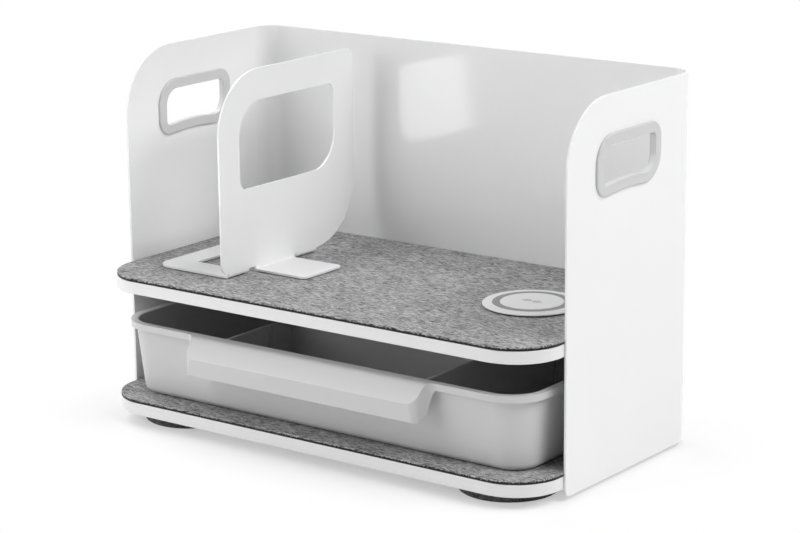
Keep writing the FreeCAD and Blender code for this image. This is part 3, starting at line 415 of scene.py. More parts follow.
def solids_of(name):
    """Lowest and highest corner of each separate solid of a CAD node."""
    shape = bmesh.new()
    shape.from_mesh(nodes[name].data)
    bmesh.ops.remove_doubles(shape, verts=shape.verts, dist=1e-6)
    left, boxes = set(shape.verts), []
    while left:
        stack, found = [left.pop()], []
        while stack:
            vertex = stack.pop()
            found.append(vertex.co.copy())
            for edge in vertex.link_edges:
                other = edge.other_vert(vertex)
                if other in left:
                    left.remove(other)
                    stack.append(other)
        boxes.append((Vector(map(min, *found)), Vector(map(max, *found))))
    shape.free()
    return sorted(boxes, key=lambda pair: tuple(round(c, 5) for c in pair[0]))


def plan_loops(name):
    """Outlines of a CAD node's flat top, each with the solid on its left."""
    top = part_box(name)[1].z
    mesh = nodes[name].data
    key = {v.index: (round(v.co.x, 6), round(v.co.y, 6)) for v in mesh.vertices
           if abs(v.co.z - top) < 1e-6}
    edges = {}
    for face in mesh.polygons:
        if face.normal.z > 0.99 and all(i in key for i in face.vertices):
            ring = [key[i] for i in face.vertices]
            for a, b in pairs(ring):
                if (b, a) in edges:
                    del edges[b, a]
                elif a != b:
                    edges[a, b] = True
    follow = {a: b for a, b in edges}
    loops = []
    while follow:
        start = next(iter(follow))
        loop, at = [start], follow.pop(start)
        while at != start:
            loop.append(at)
            at = follow.pop(at)
        loops.append([Vector(p) for p in loop])
    return sorted(loops, key=lambda loop: -len(loop))


def pairs(loop):
    """Each item of a closed loop with the next one."""
    return zip(loop, loop[1:] + loop[:1])


def bridge(shape, first, second):
    """Faces between two rings of as many points."""
    for (a, b), (c, d) in zip(pairs(first), pairs(second)):
        shape.faces.new((a, b, d, c))


def divided(loop, step):
    """The loop with points no further apart than a step."""
    points = []
    for a, b in pairs(loop):
        parts = max(1, math.ceil((b - a).length / step))
        points += [a.lerp(b, i / parts) for i in range(parts)]
    return points


def inward(loop, offset):
    """The loop moved towards the solid on its left."""
    moved = []
    for before, here, after in zip(loop[-1:] + loop[:-1], loop, loop[1:] + loop[:1]):
        first, second = (here - before).normalized(), (after - here).normalized()
        lean = (Vector((-first.y, first.x)) + Vector((-second.y, second.x)))
        moved.append(here + lean * (offset * 2 / max(lean.length_squared, 1.0)))
    return moved


def inside(point, loops):
    """Whether a point lies in the plan, by counting the edges beside it."""
    odd = False
    for loop in loops:
        for a, b in pairs(loop):
            if (a.y > point.y) != (b.y > point.y):
                if point.x < a.x + (point.y - a.y) / (b.y - a.y) * (b.x - a.x):
                    odd = not odd
    return odd


def filled(loops, extra):
    """Triangles of the plan between loops, over extra points: points and index triples."""
    points, edges = [], []
    for loop in loops:
        edges += pairs(list(range(len(points), len(points) + len(loop))))
        points += loop
    points += extra
    made = geometry.delaunay_2d_cdt(points, edges, [], 1, 1e-9)
    flat, source = made[0], [origin[0] for origin in made[3]]
    along, triples = set(edges), []
    for triple in made[2]:
        a, b, c = (source[i] for i in triple)
        sides = ((a, b), (b, c), (c, a))
        if any((q, p) in along for p, q in sides):
            continue
        middle = sum((flat[i] for i in triple), Vector((0.0, 0.0))) / 3
        if any(side in along for side in sides) or inside(middle, loops):
            triples.append((a, b, c))
    return points, triples


# inward step and drop below the top of each ring of a mat's cut edge, in mm
MAT_EDGE = ((2.0, 0.0), (1.0, 0.04), (0.45, 0.16), (0.16, 0.45), (0.05, 1.1), (0.05, 2.0),
            (0.1, 2.8))
MAT_OUTLINE_STEP = 1.6 * MM     # between points along the cut edge
MAT_SHOULDER = 0.3 * MM         # drop above which a ring counts as the mat's top
MAT_RIM_REACH = 6.0 * MM        # furthest distance from the edge that the mesh keeps
MAT_NICK = 0.06 * MM            # raggedness of the side
MAT_SPARSE = 23                 # one point in so many lies on the mat's flat underside too


def felt_relief(point, amount):
    """How far the felt's top lies below its highest."""
    slow = noise.noise(Vector((point.x * 55, point.y * 55, 0.3)))
    fine = noise.noise(Vector((point.x * 210, point.y * 520, 1.7)))
    return amount * (0.5 + 0.3 * slow + 0.2 * fine)


def mat_grid(loops, near, low, high, step):
    """Points in rows over the mat, clear of its rounded edge."""
    clear = MAT_EDGE[0][0] * MM + 0.6 * step
    grid = []
    for row in range(int((high.y - low.y) / step)):
        for column in range(int((high.x - low.x) / step)):
            x = low.x + (column + 0.5 + 0.5 * (row % 2)) * step
            p = Vector((x, low.y + (row + 0.5) * step))
            if near.find((p.x, p.y, 0.0))[2] > clear and inside(p, loops):
                grid.append(p)
    return grid


def felt_mat(name):
    """A laser-cut felt mat: uneven top, soft shoulder and slightly ragged side."""
    felt = settings().felt
    low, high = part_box(name)
    loops = [divided(loop, MAT_OUTLINE_STEP) for loop in plan_loops(name)]
    rings = [[inward(loop, offset * MM) for loop in loops] for offset, _ in MAT_EDGE]
    edge = [p for loop in loops for p in loop]
    near = kdtree.KDTree(len(edge))
    for index, p in enumerate(edge):
        near.insert((p.x, p.y, 0.0), index)
    near.balance()
    grid = mat_grid(loops, near, low, high, felt.grid)

    def side(shape, rim, number, above):
        """The rings down one loop's side; gives back the lowest."""
        for ring, (offset, drop) in zip(rings[1:], MAT_EDGE[1:]):
            offset, drop = offset * MM, drop * MM
            below = []
            for p in ring[number]:
                nick = noise.noise(Vector((p.x * 700, p.y * 700, drop * 900)))
                fall = max(drop, felt_relief(p, felt.relief)) + MAT_NICK * max(nick, 0.0)
                v = shape.verts.new((p.x, p.y, high.z - min(fall, high.z - low.z)))
                v[rim] = offset if drop < MAT_SHOULDER else -drop
                below.append(v)
            bridge(shape, above, below)
            above = below
        return above

    def build(shape):
        rim = shape.verts.layers.float.new("rim")
        points, triples = filled(rings[0], grid)
        made = []
        for p in points:
            v = shape.verts.new((p.x, p.y, high.z - felt_relief(p, felt.relief)))
            v[rim] = min(near.find((p.x, p.y, 0.0))[2], MAT_RIM_REACH)
            made.append(v)
        for triple in triples:
            shape.faces.new([made[i] for i in triple])
        first, feet = 0, []
        for number, loop in enumerate(rings[0]):
            feet.append(side(shape, rim, number, made[first:first + len(loop)]))
            first += len(loop)
        flat = [[Vector((v.co.x, v.co.y)) for v in loop] for loop in feet]
        sparse = grid[::MAT_SPARSE]
        under = [v for loop in feet for v in loop]
        under += [shape.verts.new((p.x, p.y, low.z)) for p in sparse]
        for triple in filled(flat, sparse)[1]:
            shape.faces.new([under[i] for i in reversed(triple)])

    piece = mesh_piece(name + "_cloth", build)
    return piece, (high.x - low.x, high.y - low.y), plan_area(loops)


def plan_area(loops):
    """Area between the loops."""
    return abs(sum(a.cross(b) for loop in loops for a, b in pairs(loop)) / 2)


def geometry_tree(name, inputs):
    """An empty Geometry Nodes tree with named inputs, and its two ends."""
    body = ("Geometry", "NodeSocketGeometry")
    return new_tree(name, "GeometryNodeTree", [(*body, None), *inputs], [body])


def grown(name, source, tree, values, material):
    """The plain mesh that a Geometry Nodes tree makes from a source mesh."""
    holder = bpy.data.objects.new(name + "_source", source)
    bpy.context.scene.collection.objects.link(holder)
    modifier = holder.modifiers.new(name, "NODES")
    modifier.node_group = tree
    for item in tree.interface.items_tree:
        if item.in_out == "INPUT" and item.name in values:
            modifier[item.identifier] = values[item.name]
        elif item.in_out == "INPUT" and item.name == "Material":
            modifier[item.identifier] = material
    view = bpy.context.evaluated_depsgraph_get()
    mesh = bpy.data.meshes.new_from_object(holder.evaluated_get(view), depsgraph=view)
    mesh.name = name
    holder.modifiers.remove(modifier)
    bpy.data.objects.remove(holder)
    return bpy.data.objects.new(name, mesh)


def ends_plain(tree, shape, start, end):
    """Ends a tree in real geometry with its material."""
    real = add(tree, "GeometryNodeRealizeInstances", {0: shape})
    dressed = add(tree, "GeometryNodeSetMaterial",
                  {0: real, "Material": start.outputs["Material"]})
    tree.links.new(dressed.outputs[0], end.inputs[0])


MATERIAL = ("Material", "NodeSocketMaterial", None)


@made_once("Loose fibres")
def loose_fibres_tree(name):
    """Fine bent fibres lying over a felt surface."""
    tree, start, end = geometry_tree(name, [
        ("Rate", FLOAT, 30000.0), ("Length", FLOAT, 2.5 * MM), ("Radius", FLOAT, 0.035 * MM),
        ("Seed", "NodeSocketInt", 1), MATERIAL])
    spots = add(tree, "GeometryNodeDistributePointsOnFaces",
                {0: start.outputs[0], "Density": start.outputs["Rate"],
                 "Seed": start.outputs["Seed"]})
    half = math_node(tree, "MULTIPLY", start.outputs["Length"], 0.5)
    back = math_node(tree, "MULTIPLY", half, -1.0)
    lift = math_node(tree, "MULTIPLY", half, 0.35)
    first = add(tree, "ShaderNodeCombineXYZ", {"X": back})
    middle = add(tree, "ShaderNodeCombineXYZ", {"Y": lift})
    last = add(tree, "ShaderNodeCombineXYZ", {"X": half})
    arc = add(tree, "GeometryNodeCurveQuadraticBezier",
              {"Resolution": 4, "Start": first, "Middle": middle, "End": last})
    section = add(tree, "GeometryNodeCurvePrimitiveCircle",
                  {"Resolution": 3, "Radius": start.outputs["Radius"]})
    fibre = add(tree, "GeometryNodeCurveToMesh", {0: arc, 1: section, "Fill Caps": True})
    along = add(tree, "FunctionNodeRandomValue",
                {0: (0.4, -0.75, -0.06), 1: (1.0, 0.75, 0.06),
                 "Seed": start.outputs["Seed"]}, data_type="FLOAT_VECTOR")
    turned = add(tree, "FunctionNodeAlignRotationToVector", {"Vector": along}, axis="X")
    size = add(tree, "FunctionNodeRandomValue", {2: 0.5, 3: 1.2}, data_type="FLOAT")
    laid = add(tree, "GeometryNodeInstanceOnPoints",
               {0: spots, "Instance": fibre, "Rotation": turned,
                "Scale": size.outputs[1]})
    ends_plain(tree, laid, start, end)
    return tree


@made_once("Placed copies")
def placed_copies_tree(name):
    """One object's shape set on each point, each turned about its own axis."""
    tree, start, end = geometry_tree(name, [
        ("Shape", "NodeSocketObject", None), ("Turn", FLOAT, math.tau),
        ("Seed", "NodeSocketInt", 1), MATERIAL])
    shape = add(tree, "GeometryNodeObjectInfo", {"Object": start.outputs["Shape"]})
    turn = add(tree, "FunctionNodeRandomValue",
               {2: 0.0, 3: start.outputs["Turn"], "Seed": start.outputs["Seed"]},
               data_type="FLOAT")
    about = add(tree, "ShaderNodeCombineXYZ", {"Z": turn.outputs[1]})
    laid = add(tree, "GeometryNodeInstanceOnPoints",
               {0: start.outputs[0], "Instance": shape.outputs["Geometry"],
                "Rotation": about})
    ends_plain(tree, laid, start, end)
    return tree


@made_once("Wound coil")
def wound_coil_tree(name):
    """Round wire wound in a flat spiral."""
    tree, start, end = geometry_tree(name, [
        ("Inner radius", FLOAT, 10 * MM), ("Outer radius", FLOAT, 20 * MM),
        ("Turns", FLOAT, 12.0), ("Wire radius", FLOAT, 0.4 * MM),
        ("Middle", "NodeSocketVector", (0.0, 0.0, 0.0)), MATERIAL])
    spiral = add(tree, "GeometryNodeCurveSpiral",
                 {"Resolution": 40, "Rotations": start.outputs["Turns"],
                  "Start Radius": start.outputs["Inner radius"],
                  "End Radius": start.outputs["Outer radius"], "Height": 0.0})
    wire = add(tree, "GeometryNodeCurvePrimitiveCircle",
               {"Resolution": 8, "Radius": start.outputs["Wire radius"]})
    tube = add(tree, "GeometryNodeCurveToMesh", {0: spiral, 1: wire, "Fill Caps": True})
    moved = add(tree, "GeometryNodeTransform",
                {0: tube, "Translation": start.outputs["Middle"]})
    ends_plain(tree, moved, start, end)
    return tree


def point_mesh(name, points):
    """A mesh of single points."""
    mesh = bpy.data.meshes.new(name)
    mesh.from_pydata([tuple(p) for p in points], [], [])
    return mesh


def turned_profile(shape, middle, profile, segments, wobble=0.0):
    """Turns a closed profile of (radius, height) about an upright line."""
    rings = []
    for radius, height in profile:
        ring = []
        for i in range(segments):
            angle = math.tau * i / segments
            out = Vector((math.cos(angle), math.sin(angle), 0.0))
            pull = wobble * max(0.0, noise.noise(
                Vector((out.x * 9 + middle.x * 40, out.y * 9 + middle.y * 40,
                        height * 600))))
            ring.append(shape.verts.new(
                Vector((middle.x, middle.y, height)) + out * (radius - pull)))
        rings.append(ring)
    for first, second in pairs(rings):
        bridge(shape, first, second)


# a foot's closed outline as radius and height in mm, for a foot of this radius and height
FOOT_SIZE = (35.2, 9.1)
FOOT_OUTLINE = (
    (1.9, 9.1), (12.0, 9.1), (30.0, 9.1), (33.6, 9.06), (34.5, 8.8), (34.9, 8.2), (35.05, 7.0),
    (35.15, 5.4), (35.2, 4.0), (35.15, 2.6), (35.0, 1.4), (34.6, 0.6), (34.0, 0.16),
    (33.0, 0.0), (22.0, 0.0), (9.3, 0.0), (8.7, 0.2), (8.5, 0.8), (8.5, 3.0), (8.5, 5.0),
    (5.0, 5.0), (1.9, 5.0), (1.9, 7.0))
FOOT_SEGMENTS = 144
FOOT_NICK = 0.25 * MM


def felt_foot(name):
    """A thick round felt foot, pressed a little by the weight, with its screw recess."""
    low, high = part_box(name)
    across, up = (high.x - low.x) / 2 / FOOT_SIZE[0], high.z / FOOT_SIZE[1]
    outline = [(radius * across, height * up) for radius, height in FOOT_OUTLINE]

    def build(shape):
        turned_profile(shape, (low + high) / 2, outline, FOOT_SEGMENTS, FOOT_NICK)

    return mesh_piece(name + "_pad", build)


SCREW_SIDES = 20
SCREW_HEAD = 1.9 * MM           # height of the head
SCREW_SHANK = 1.75 * MM         # radius over the thread
SCREW_NECK = 0.6 * MM           # plain shank under the head
SCREW_ROWS = 6                  # rings in one turn of thread, and in the fading tip
# outline of the head as shares of its radius and height
SCREW_DOME = ((0.45, 0.0), (0.7, 0.05), (0.88, 0.2), (0.97, 0.42), (1.0, 0.7), (1.0, 0.9),
              (0.96, 1.0))


def screw_rings(head_radius, reach):
    """Radius at each side and height of every ring of a screw, from its head to its tip."""
    tools = settings().hardware
    rings = [([r * head_radius] * SCREW_SIDES, z * SCREW_HEAD) for r, z in SCREW_DOME]
    rings += [([SCREW_SHANK] * SCREW_SIDES, SCREW_HEAD + z) for z in (0.0, SCREW_NECK)]
    top = SCREW_HEAD + SCREW_NECK
    rows = math.ceil((reach - top) / (tools.thread / SCREW_ROWS))
    for row in range(1, rows + 1):
        height = top + (reach - top) * row / rows
        fade = 0.35 + 0.65 * min(1.0, (rows - row) / SCREW_ROWS)
        radii = []
        for i in range(SCREW_SIDES):
            turn = (height / tools.thread - i / SCREW_SIDES) % 1.0
            ridge = max(0.0, 1.0 - abs(turn - 0.5) * 4.0)
            radii.append((SCREW_SHANK - tools.thread_depth * (1.0 - ridge)) * fade)
        rings.append((radii, height))
    return rings


def cross_recess(shape, rim):
    """A cross recess in the head's flat face inside a ring."""
    arm = settings().hardware.recess
    half = arm * 0.22
    cross = [(arm, -half), (arm, half), (half, half), (half, arm), (-half, arm),
             (-half, half), (-arm, half), (-arm, -half), (-half, -half),
             (-half, -arm), (half, -arm), (half, -half)]
    mouth = [shape.verts.new((x, y, 0.0)) for x, y in cross]
    floor = [shape.verts.new((x * 0.62, y * 0.8, SCREW_HEAD * 0.6)) for x, y in cross]
    bridge(shape, mouth, floor)
    shape.faces.new(floor)
    edges = [shape.edges.get((a, b)) or shape.edges.new((a, b))
             for ring in (mouth, rim) for a, b in pairs(ring)]
    bmesh.ops.triangle_fill(shape, edges=edges, use_beauty=True)


def screw_shape(name, head_radius, reach):
    """A pan-head screw with its head down at the origin, a cross recess and a thread."""
    def build(shape):
        turns = [math.tau * i / SCREW_SIDES for i in range(SCREW_SIDES)]
        made = [[shape.verts.new((r * math.cos(a), r * math.sin(a), height))
                 for r, a in zip(radii, turns)]
                for radii, height in screw_rings(head_radius, reach)]
        for first, second in zip(made, made[1:]):
            bridge(shape, first, second)
        tip = shape.verts.new((0.0, 0.0, reach))
        for a, b in pairs(made[-1]):
            shape.faces.new((a, b, tip))
        cross_recess(shape, made[0])

    piece = mesh_piece(name, build)
    bpy.context.scene.collection.objects.link(piece)
    return piece


def screw_set(node, material):
    """Detailed screws in the places of a CAD node's screws."""
    boxes = solids_of(node)
    low, high = boxes[0]
    spots = [Vector(((a.x + b.x) / 2, (a.y + b.y) / 2, a.z)) for a, b in boxes]
    model = screw_shape("screw_model", (high.x - low.x) / 2, high.z - low.z)
    piece = grown(node + "_turned", point_mesh(node + "_spots", spots),
                  placed_copies_tree(), {"Shape": model, "Seed": len(spots)}, material)
    bpy.data.objects.remove(model)
    return finish_piece(piece, "root", replaced=[node], smooth=False)


# how far below the top of the charger's band its lip ends and the neck begins; below it the
# housing gets painted shade
NECK_DROP = 1.4 * MM


def paint_shade_under_lip(material, height):
    """Makes a material near black below a height: painted shade in the gap under the charger's
    lip.
    """
    tree = material.node_tree
    colour = tree.nodes["Principled BSDF"].inputs["Base Color"]
    place = add(tree, "ShaderNodeTexCoord").outputs["Object"]
    level = add(tree, "ShaderNodeSeparateXYZ", {0: place}).outputs["Z"]
    below = spread(tree, level, height - 0.05 * MM, height, 1.0, 0.0)
    # painted shade: near black under the lip, where the gap lies in shadow
    tone = blend_colours(tree, below, colour.links[0].from_socket, colour4((0.03,) * 3))
    tree.links.new(tone, colour)


TICK_HEIGHTS = (2.6, 4.8, 6.0, 3.6, 1.6, 3.6, 6.0, 4.8, 2.6)     # in mm
TICK_PITCH, TICK_HALF = 1.75 * MM, 0.35 * MM
TICK_SUNK, TICK_RAISED = 0.05 * MM, 0.03 * MM
TICK_CORNERS = 12


def tick_marks(shape, middle, top):
    """A row of small raised ticks, a plain sign for the middle of the charging face."""
    for index, tall in enumerate(TICK_HEIGHTS):
        x = middle.x + (index - (len(TICK_HEIGHTS) - 1) / 2) * TICK_PITCH
        half = tall * MM / 2 - TICK_HALF
        ring_low, ring_high = [], []
        for corner in range(TICK_CORNERS):
            angle = math.tau * corner / TICK_CORNERS
            px = x + TICK_HALF * math.cos(angle)
            end = half if math.sin(angle) > 0 else -half
            py = middle.y + end + TICK_HALF * math.sin(angle)
            ring_low.append(shape.verts.new((px, py, top - TICK_SUNK)))
            ring_high.append(shape.verts.new((px, py, top + TICK_RAISED)))
        shape.faces.new(ring_high)
        shape.faces.new(ring_low[::-1])
        bridge(shape, ring_low, ring_high)


# ---------------------------------------------------------------- operators

class ORGANIZER_OT_steel(bpy.types.Operator):
    """Powder coat on the wrap, the angles and the divider"""

    bl_idname = "organizer.coat_steel"
    bl_label = "Coat the steel"

    def execute(self, context):
        coat = settings().coat
        material = coated("powder_coat", coat.steel, coat.peel, 0.01 * MM, coat.gloss,
                          specks=0.06, tint=0.012, rough_swing=0.04, Specular_IOR_Level=0.25,
                          Coat_Weight=coat.glaze, Coat_Roughness=0.09)
        dress(["steel_wrap", "divider_plate", *called("_angle_")], material)
        return {"FINISHED"}


class ORGANIZER_OT_boards(bpy.types.Operator):
    """White lacquer on both shelf boards"""

    bl_idname = "organizer.lacquer_boards"
    bl_label = "Lacquer the boards"

    def execute(self, context):
        coat = settings().coat
        material = coated("board_lacquer", coat.lacquer, 2.4 * MM, 0.015 * MM, 0.42,
                          specks=0.15, tint=0.02, patch=30.0)
        dress(called("_shelf_board"), material)
        return {"FINISHED"}


class ORGANIZER_OT_bezels(bpy.types.Operator):
    """Moulded bezels round the two grip openings"""

    bl_idname = "organizer.mould_bezels"
    bl_label = "Finish the bezels"

    def execute(self, context):
        plastic = settings().plastic
        material = coated("bezel_plastic", plastic.bezel, plastic.grain, 0.02 * MM, 0.45,
                          specks=0.6, tint=0.02)
        dress(called("grip_bezel_"), material)
        return {"FINISHED"}


class ORGANIZER_OT_felt(bpy.types.Operator):
    """Felt mats on both shelves, with loose fibres"""

    bl_idname = "organizer.lay_felt"
    bl_label = "Lay the felt mats"

    def execute(self, context):
        felt = settings().felt
        material = felt_material("melange_felt", felt.dark, felt.light, felt.burn)
        stray = felt_material("felt_fibre", felt.dark, felt.light)
        for number, (name, board) in enumerate((("upper_felt_mat", "upper_shelf_board"),
                                                ("lower_felt_mat", "lower_shelf_board"))):
            cloth, flat, area = felt_mat(name)
            finish_piece(cloth, "root", material, [name])
            fibres = grown(name + "_fibres", cloth.data.copy(), loose_fibres_tree(),
                           {"Rate": felt.fibre_rate, "Length": felt.fibre,
                            "Radius": felt.fibre_radius, "Seed": felt.seed + number}, stray)
            finish_piece(fibres, "root")
        return {"FINISHED"}


class ORGANIZER_OT_feet(bpy.types.Operator):
    """Four thick felt feet"""

    bl_idname = "organizer.fit_feet"
    bl_label = "Fit the feet"

    def execute(self, context):
        felt = settings().felt
        material = felt_material("foot_felt", felt.foot_dark, felt.foot_light)
        for place in ("front_left", "front_right", "rear_left", "rear_right"):
            name = "felt_foot_" + place
            foot = finish_piece(felt_foot(name), "root", material, [name])
        return {"FINISHED"}


class ORGANIZER_OT_screws(bpy.types.Operator):
    """Screws of both shelves and the feet, and the feet's washers"""

    bl_idname = "organizer.drive_screws"
    bl_label = "Drive the screws"

    def execute(self, context):
        material = metal_material("zinc_plate", (0.62, 0.62, 0.6), 0.32)
        for name in ("upper_shelf_screws", "lower_shelf_screws", "foot_screws"):
            screw_set(name, material)
        dress(["foot_washers"], material)
        return {"FINISHED"}


class ORGANIZER_OT_charger(bpy.types.Operator):
    """Charging puck: band, ring, disc, mark and what is inside"""

    bl_idname = "organizer.finish_charger"
    bl_label = "Finish the charger"

    def execute(self, context):
        plastic = settings().plastic
        shell = coated("charger_plastic", plastic.puck, plastic.grain, 0.012 * MM, 0.4,
                       specks=0.6, tint=0.015)
        dress(["puck_top_disc", "puck_cover", "puck_clamp_nut"], shell)
        housing = shell.copy()
        housing.name = "charger_housing"
        # painted shade on the housing's neck under the band's lip
        paint_shade_under_lip(housing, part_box("puck_housing")[1].z - NECK_DROP)
        dress(["puck_housing"], housing)
        rubber = coated("charger_ring", plastic.ring, 0.5 * MM, 0.02 * MM, 0.62,
                        specks=0.7, tint=0.05)
        dress(["puck_grip_ring"], rubber)
        board = coated("circuit_laminate", (0.03, 0.12, 0.05), 1.0 * MM, 0.02 * MM, 0.35)
        dress(["circuit_board"], board)
        dress(["ferrite_shield"],
              coated("ferrite", (0.05, 0.05, 0.05), 0.4 * MM, 0.02 * MM, 0.7, tint=0.1))
        dress(["power_inlet"], metal_material("inlet_shell", (0.7, 0.7, 0.68), 0.28))
        low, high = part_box("puck_top_disc")
        middle = (low + high) / 2
        mark = mesh_piece("disc_mark", lambda shape: tick_marks(shape, middle, high.z))
        ink = coated("mark_ink", (0.12, 0.12, 0.12), 0.4 * MM, 0.005 * MM, 0.5, tint=0.1)
        finish_piece(mark, "root", ink, smooth=False)
        return {"FINISHED"}


class ORGANIZER_OT_coil(bpy.types.Operator):
    """Wound charging coil inside the puck"""

    bl_idname = "organizer.wind_coil"
    bl_label = "Wind the coil"

    def execute(self, context):
        tools = settings().hardware
        low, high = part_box("charging_coil")
        middle = (low + high) / 2
        material = metal_material("enamelled_copper", (0.72, 0.36, 0.18), 0.3)
        coil = grown("charging_coil_wire", point_mesh("coil_middle", [middle]),
                     wound_coil_tree(),
                     {"Inner radius": 10.0 * MM + tools.wire,
                      "Outer radius": (high.x - low.x) / 2 - tools.wire,
                      "Turns": tools.turns, "Wire radius": tools.wire,
                      "Middle": tuple(middle)}, material)
        finish_piece(coil, "root", replaced=["charging_coil"])
        return {"FINISHED"}


class ORGANIZER_OT_drawer(bpy.types.Operator):
    """Moulded tray and its partitions"""

    bl_idname = "organizer.finish_drawer"
    bl_label = "Finish the drawer"

    def execute(self, context):
        plastic = settings().plastic
        material = coated("tray_plastic", plastic.tray, plastic.grain, 0.015 * MM, 0.4,
                          specks=0.6, tint=0.015)
        dress(called("drawer_"), material)
        return {"FINISHED"}


class ORGANIZER_OT_pads(bpy.types.Operator):
    """Thin foam pads under the divider's foot"""

    bl_idname = "organizer.stick_pads"
    bl_label = "Stick the pads"

    def execute(self, context):
        material = coated("pad_foam", (0.03, 0.03, 0.03), 0.6 * MM, 0.03 * MM, 0.85,
                          specks=0.7, tint=0.2)
        dress(["divider_frame_pad", "divider_tab_pad"], material)
        return {"FINISHED"}


CAMERA_PLACE = (1.07091, -1.41294, 0.56368)
CAMERA_TURN = (1.32639, 0.00937, 0.64047)
CAMERA_LENS = 116.40
# each lamp's name, its turn to the right of the front and its rise in degrees, how far
# off it stands, and its size
LAMPS = (("key", 90, 45, 3.0, 1.7), ("low_left", -60, 15, 1.8, 1.0),
         ("low_front", -30, 15, 1.8, 1.0), ("high_front", -30, 45, 1.8, 1.0),
         ("high_left", -100, 45, 1.8, 1.0), ("behind", 130, 45, 1.8, 1.0))
LAMP_AIM = Vector((0.0, 0.0, 0.12))
# the small panel that only gloss shows, and whose reflection lies on the wrap's back
PANEL_PLACE = (-0.299, -0.264, 0.142)
PANEL_TURN = (math.pi / 2, math.radians(-8.0), 0.0)
PANEL_SIZE = (0.080, 0.074)
FLOOR_RADIUS = 6.0
# half width and half depth of the floor's plain part, how far round it the floor fades to
# white, and how white it is where the fade begins
FLOOR_PLAIN, FLOOR_FADE, FLOOR_START = (0.17, 0.09, 0.0), 0.08, 0.4


def seen_directly(tree):
    """1 where the camera, gloss or clear material sees a surface, 0 where it only lights."""
    path = add(tree, "ShaderNodeLightPath")
    return math_node(tree, "MAXIMUM", path.outputs["Is Camera Ray"],
                     math_node(tree, "MAXIMUM", path.outputs["Is Glossy Ray"],
                               path.outputs["Is Transmission Ray"]))


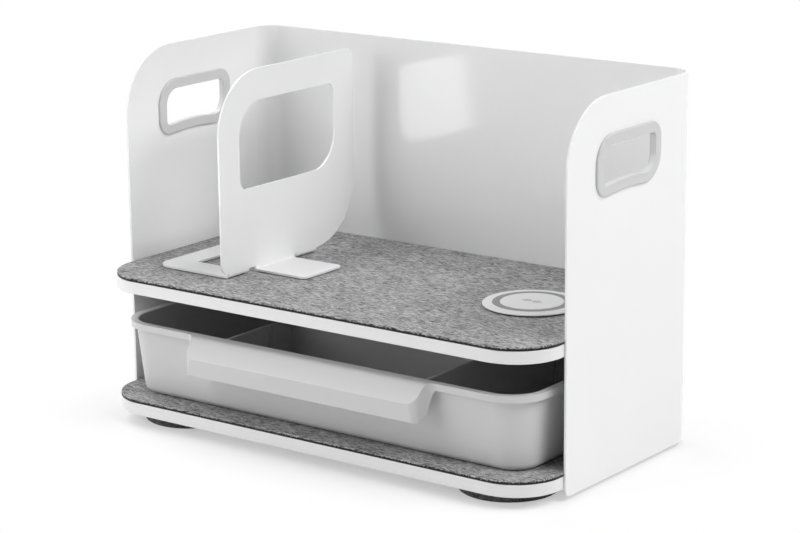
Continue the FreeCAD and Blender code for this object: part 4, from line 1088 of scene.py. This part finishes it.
class ORGANIZER_OT_stage(bpy.types.Operator):
    """Floor, lamps, surroundings and camera"""

    bl_idname = "organizer.set_stage"
    bl_label = "Set the stage"

    def execute(self, context):
        studio = settings().studio
        scene = context.scene
        self.camera(scene)
        self.floor(scene, studio)
        self.world(scene, studio)
        for name, turn, rise, reach, size in LAMPS:
            turn, rise = math.radians(turn), math.radians(rise)
            away = Vector((math.sin(turn) * math.cos(rise), -math.cos(turn) * math.cos(rise),
                           math.sin(rise)))
            self.lamp(scene, name, getattr(studio, name), (size, size),
                      LAMP_AIM + away * reach, (-away).to_track_quat("-Z", "Y").to_euler())
        panel = self.lamp(scene, "panel", studio.panel, PANEL_SIZE, PANEL_PLACE, PANEL_TURN)
        panel.visible_camera = panel.visible_diffuse = False
        scene.view_settings.view_transform = "Standard"
        return {"FINISHED"}

    @staticmethod
    def lamp(scene, name, power, size, place, turn):
        """One soft rectangular lamp."""
        light = bpy.data.lights.new(name + "_lamp", "AREA")
        light.shape, light.energy = "RECTANGLE", power
        light.size, light.size_y = size
        lamp = bpy.data.objects.new(name + "_lamp", light)
        lamp.location, lamp.rotation_euler = place, turn
        scene.collection.objects.link(lamp)
        return lamp

    @staticmethod
    def camera(scene):
        """The camera, a little above the object and to its right."""
        lens = bpy.data.cameras.new("camera")
        lens.lens, lens.sensor_width = CAMERA_LENS, 36.0
        lens.clip_start, lens.clip_end = 0.05, 20.0
        camera = bpy.data.objects.new("camera", lens)
        camera.location, camera.rotation_euler = CAMERA_PLACE, CAMERA_TURN
        scene.collection.objects.link(camera)
        scene.camera = camera

    @staticmethod
    def floor(scene, studio):
        """A round pale floor that fades to white away from the object."""
        def build(shape):
            bmesh.ops.create_circle(shape, cap_ends=True, radius=FLOOR_RADIUS, segments=96)

        floor = mesh_piece("floor", build)
        material, tree, shader = new_material("floor", Base_Color=colour4(studio.floor),
                                              Roughness=1.0, Specular_IOR_Level=0.0)
        place = add(tree, "ShaderNodeTexCoord").outputs["Object"]
        side = add(tree, "ShaderNodeVectorMath", {0: place}, operation="ABSOLUTE")
        beyond = add(tree, "ShaderNodeVectorMath",
                     {0: side, 1: FLOOR_PLAIN}, operation="SUBTRACT")
        outside = add(tree, "ShaderNodeVectorMath", {0: beyond}, operation="MAXIMUM")
        reach = add(tree, "ShaderNodeVectorMath", {0: outside}, operation="LENGTH")
        far = spread(tree, reach.outputs["Value"], 0.0, FLOOR_FADE, FLOOR_START, 1.0)
        white = add(tree, "ShaderNodeEmission", {"Color": WHITE, "Strength": 1.0})
        mix = add(tree, "ShaderNodeMixShader",
                  {0: math_node(tree, "MULTIPLY", far, seen_directly(tree)), 1: shader,
                   2: white})
        tree.links.new(mix.outputs[0], tree.nodes["Material Output"].inputs["Surface"])
        floor.data.materials.append(material)
        scene.collection.objects.link(floor)

    @staticmethod
    def world(scene, studio):
        """White seen by the camera and in gloss, an even soft fill for the rest."""
        scene.world = bpy.data.worlds.new("studio")
        scene.world.use_nodes = True
        tree = scene.world.node_tree
        strength = spread(tree, seen_directly(tree), 0.0, 1.0, studio.sky, 1.0)
        back = tree.nodes["Background"]
        back.inputs["Color"].default_value = WHITE
        feed(tree, back, Strength=strength)


class ORGANIZER_PT_panel(bpy.types.Panel):
    """Steps that dress the organizer, in their order"""

    bl_idname = "ORGANIZER_PT_panel"
    bl_label = "Desk organizer"
    bl_space_type = "VIEW_3D"
    bl_region_type = "UI"
    bl_category = "Organizer"

    def draw(self, context):
        column = self.layout.column(align=True)
        for step in STEPS:
            column.operator(step.bl_idname)


STEPS = (ORGANIZER_OT_stage, ORGANIZER_OT_steel, ORGANIZER_OT_boards, ORGANIZER_OT_bezels,
         ORGANIZER_OT_felt, ORGANIZER_OT_feet, ORGANIZER_OT_screws, ORGANIZER_OT_charger,
         ORGANIZER_OT_coil, ORGANIZER_OT_drawer, ORGANIZER_OT_pads)
CLASSES = (CoatSettings, PlasticSettings, FeltSettings, HardwareSettings, StudioSettings,
           OrganizerSettings, *STEPS, ORGANIZER_PT_panel)


def register():
    """Adds the classes and the scene's settings."""
    for item in CLASSES:
        bpy.utils.register_class(item)
    bpy.types.Scene.organizer = PointerProperty(type=OrganizerSettings)


def unregister():
    """Takes them away again."""
    del bpy.types.Scene.organizer
    for item in reversed(CLASSES):
        bpy.utils.unregister_class(item)


def main():
    """Dresses the organizer step by step."""
    register()
    for step in STEPS:
        group, name = step.bl_idname.split(".")
        getattr(getattr(bpy.ops, group), name)()


if __name__ == "__main__":
    main()
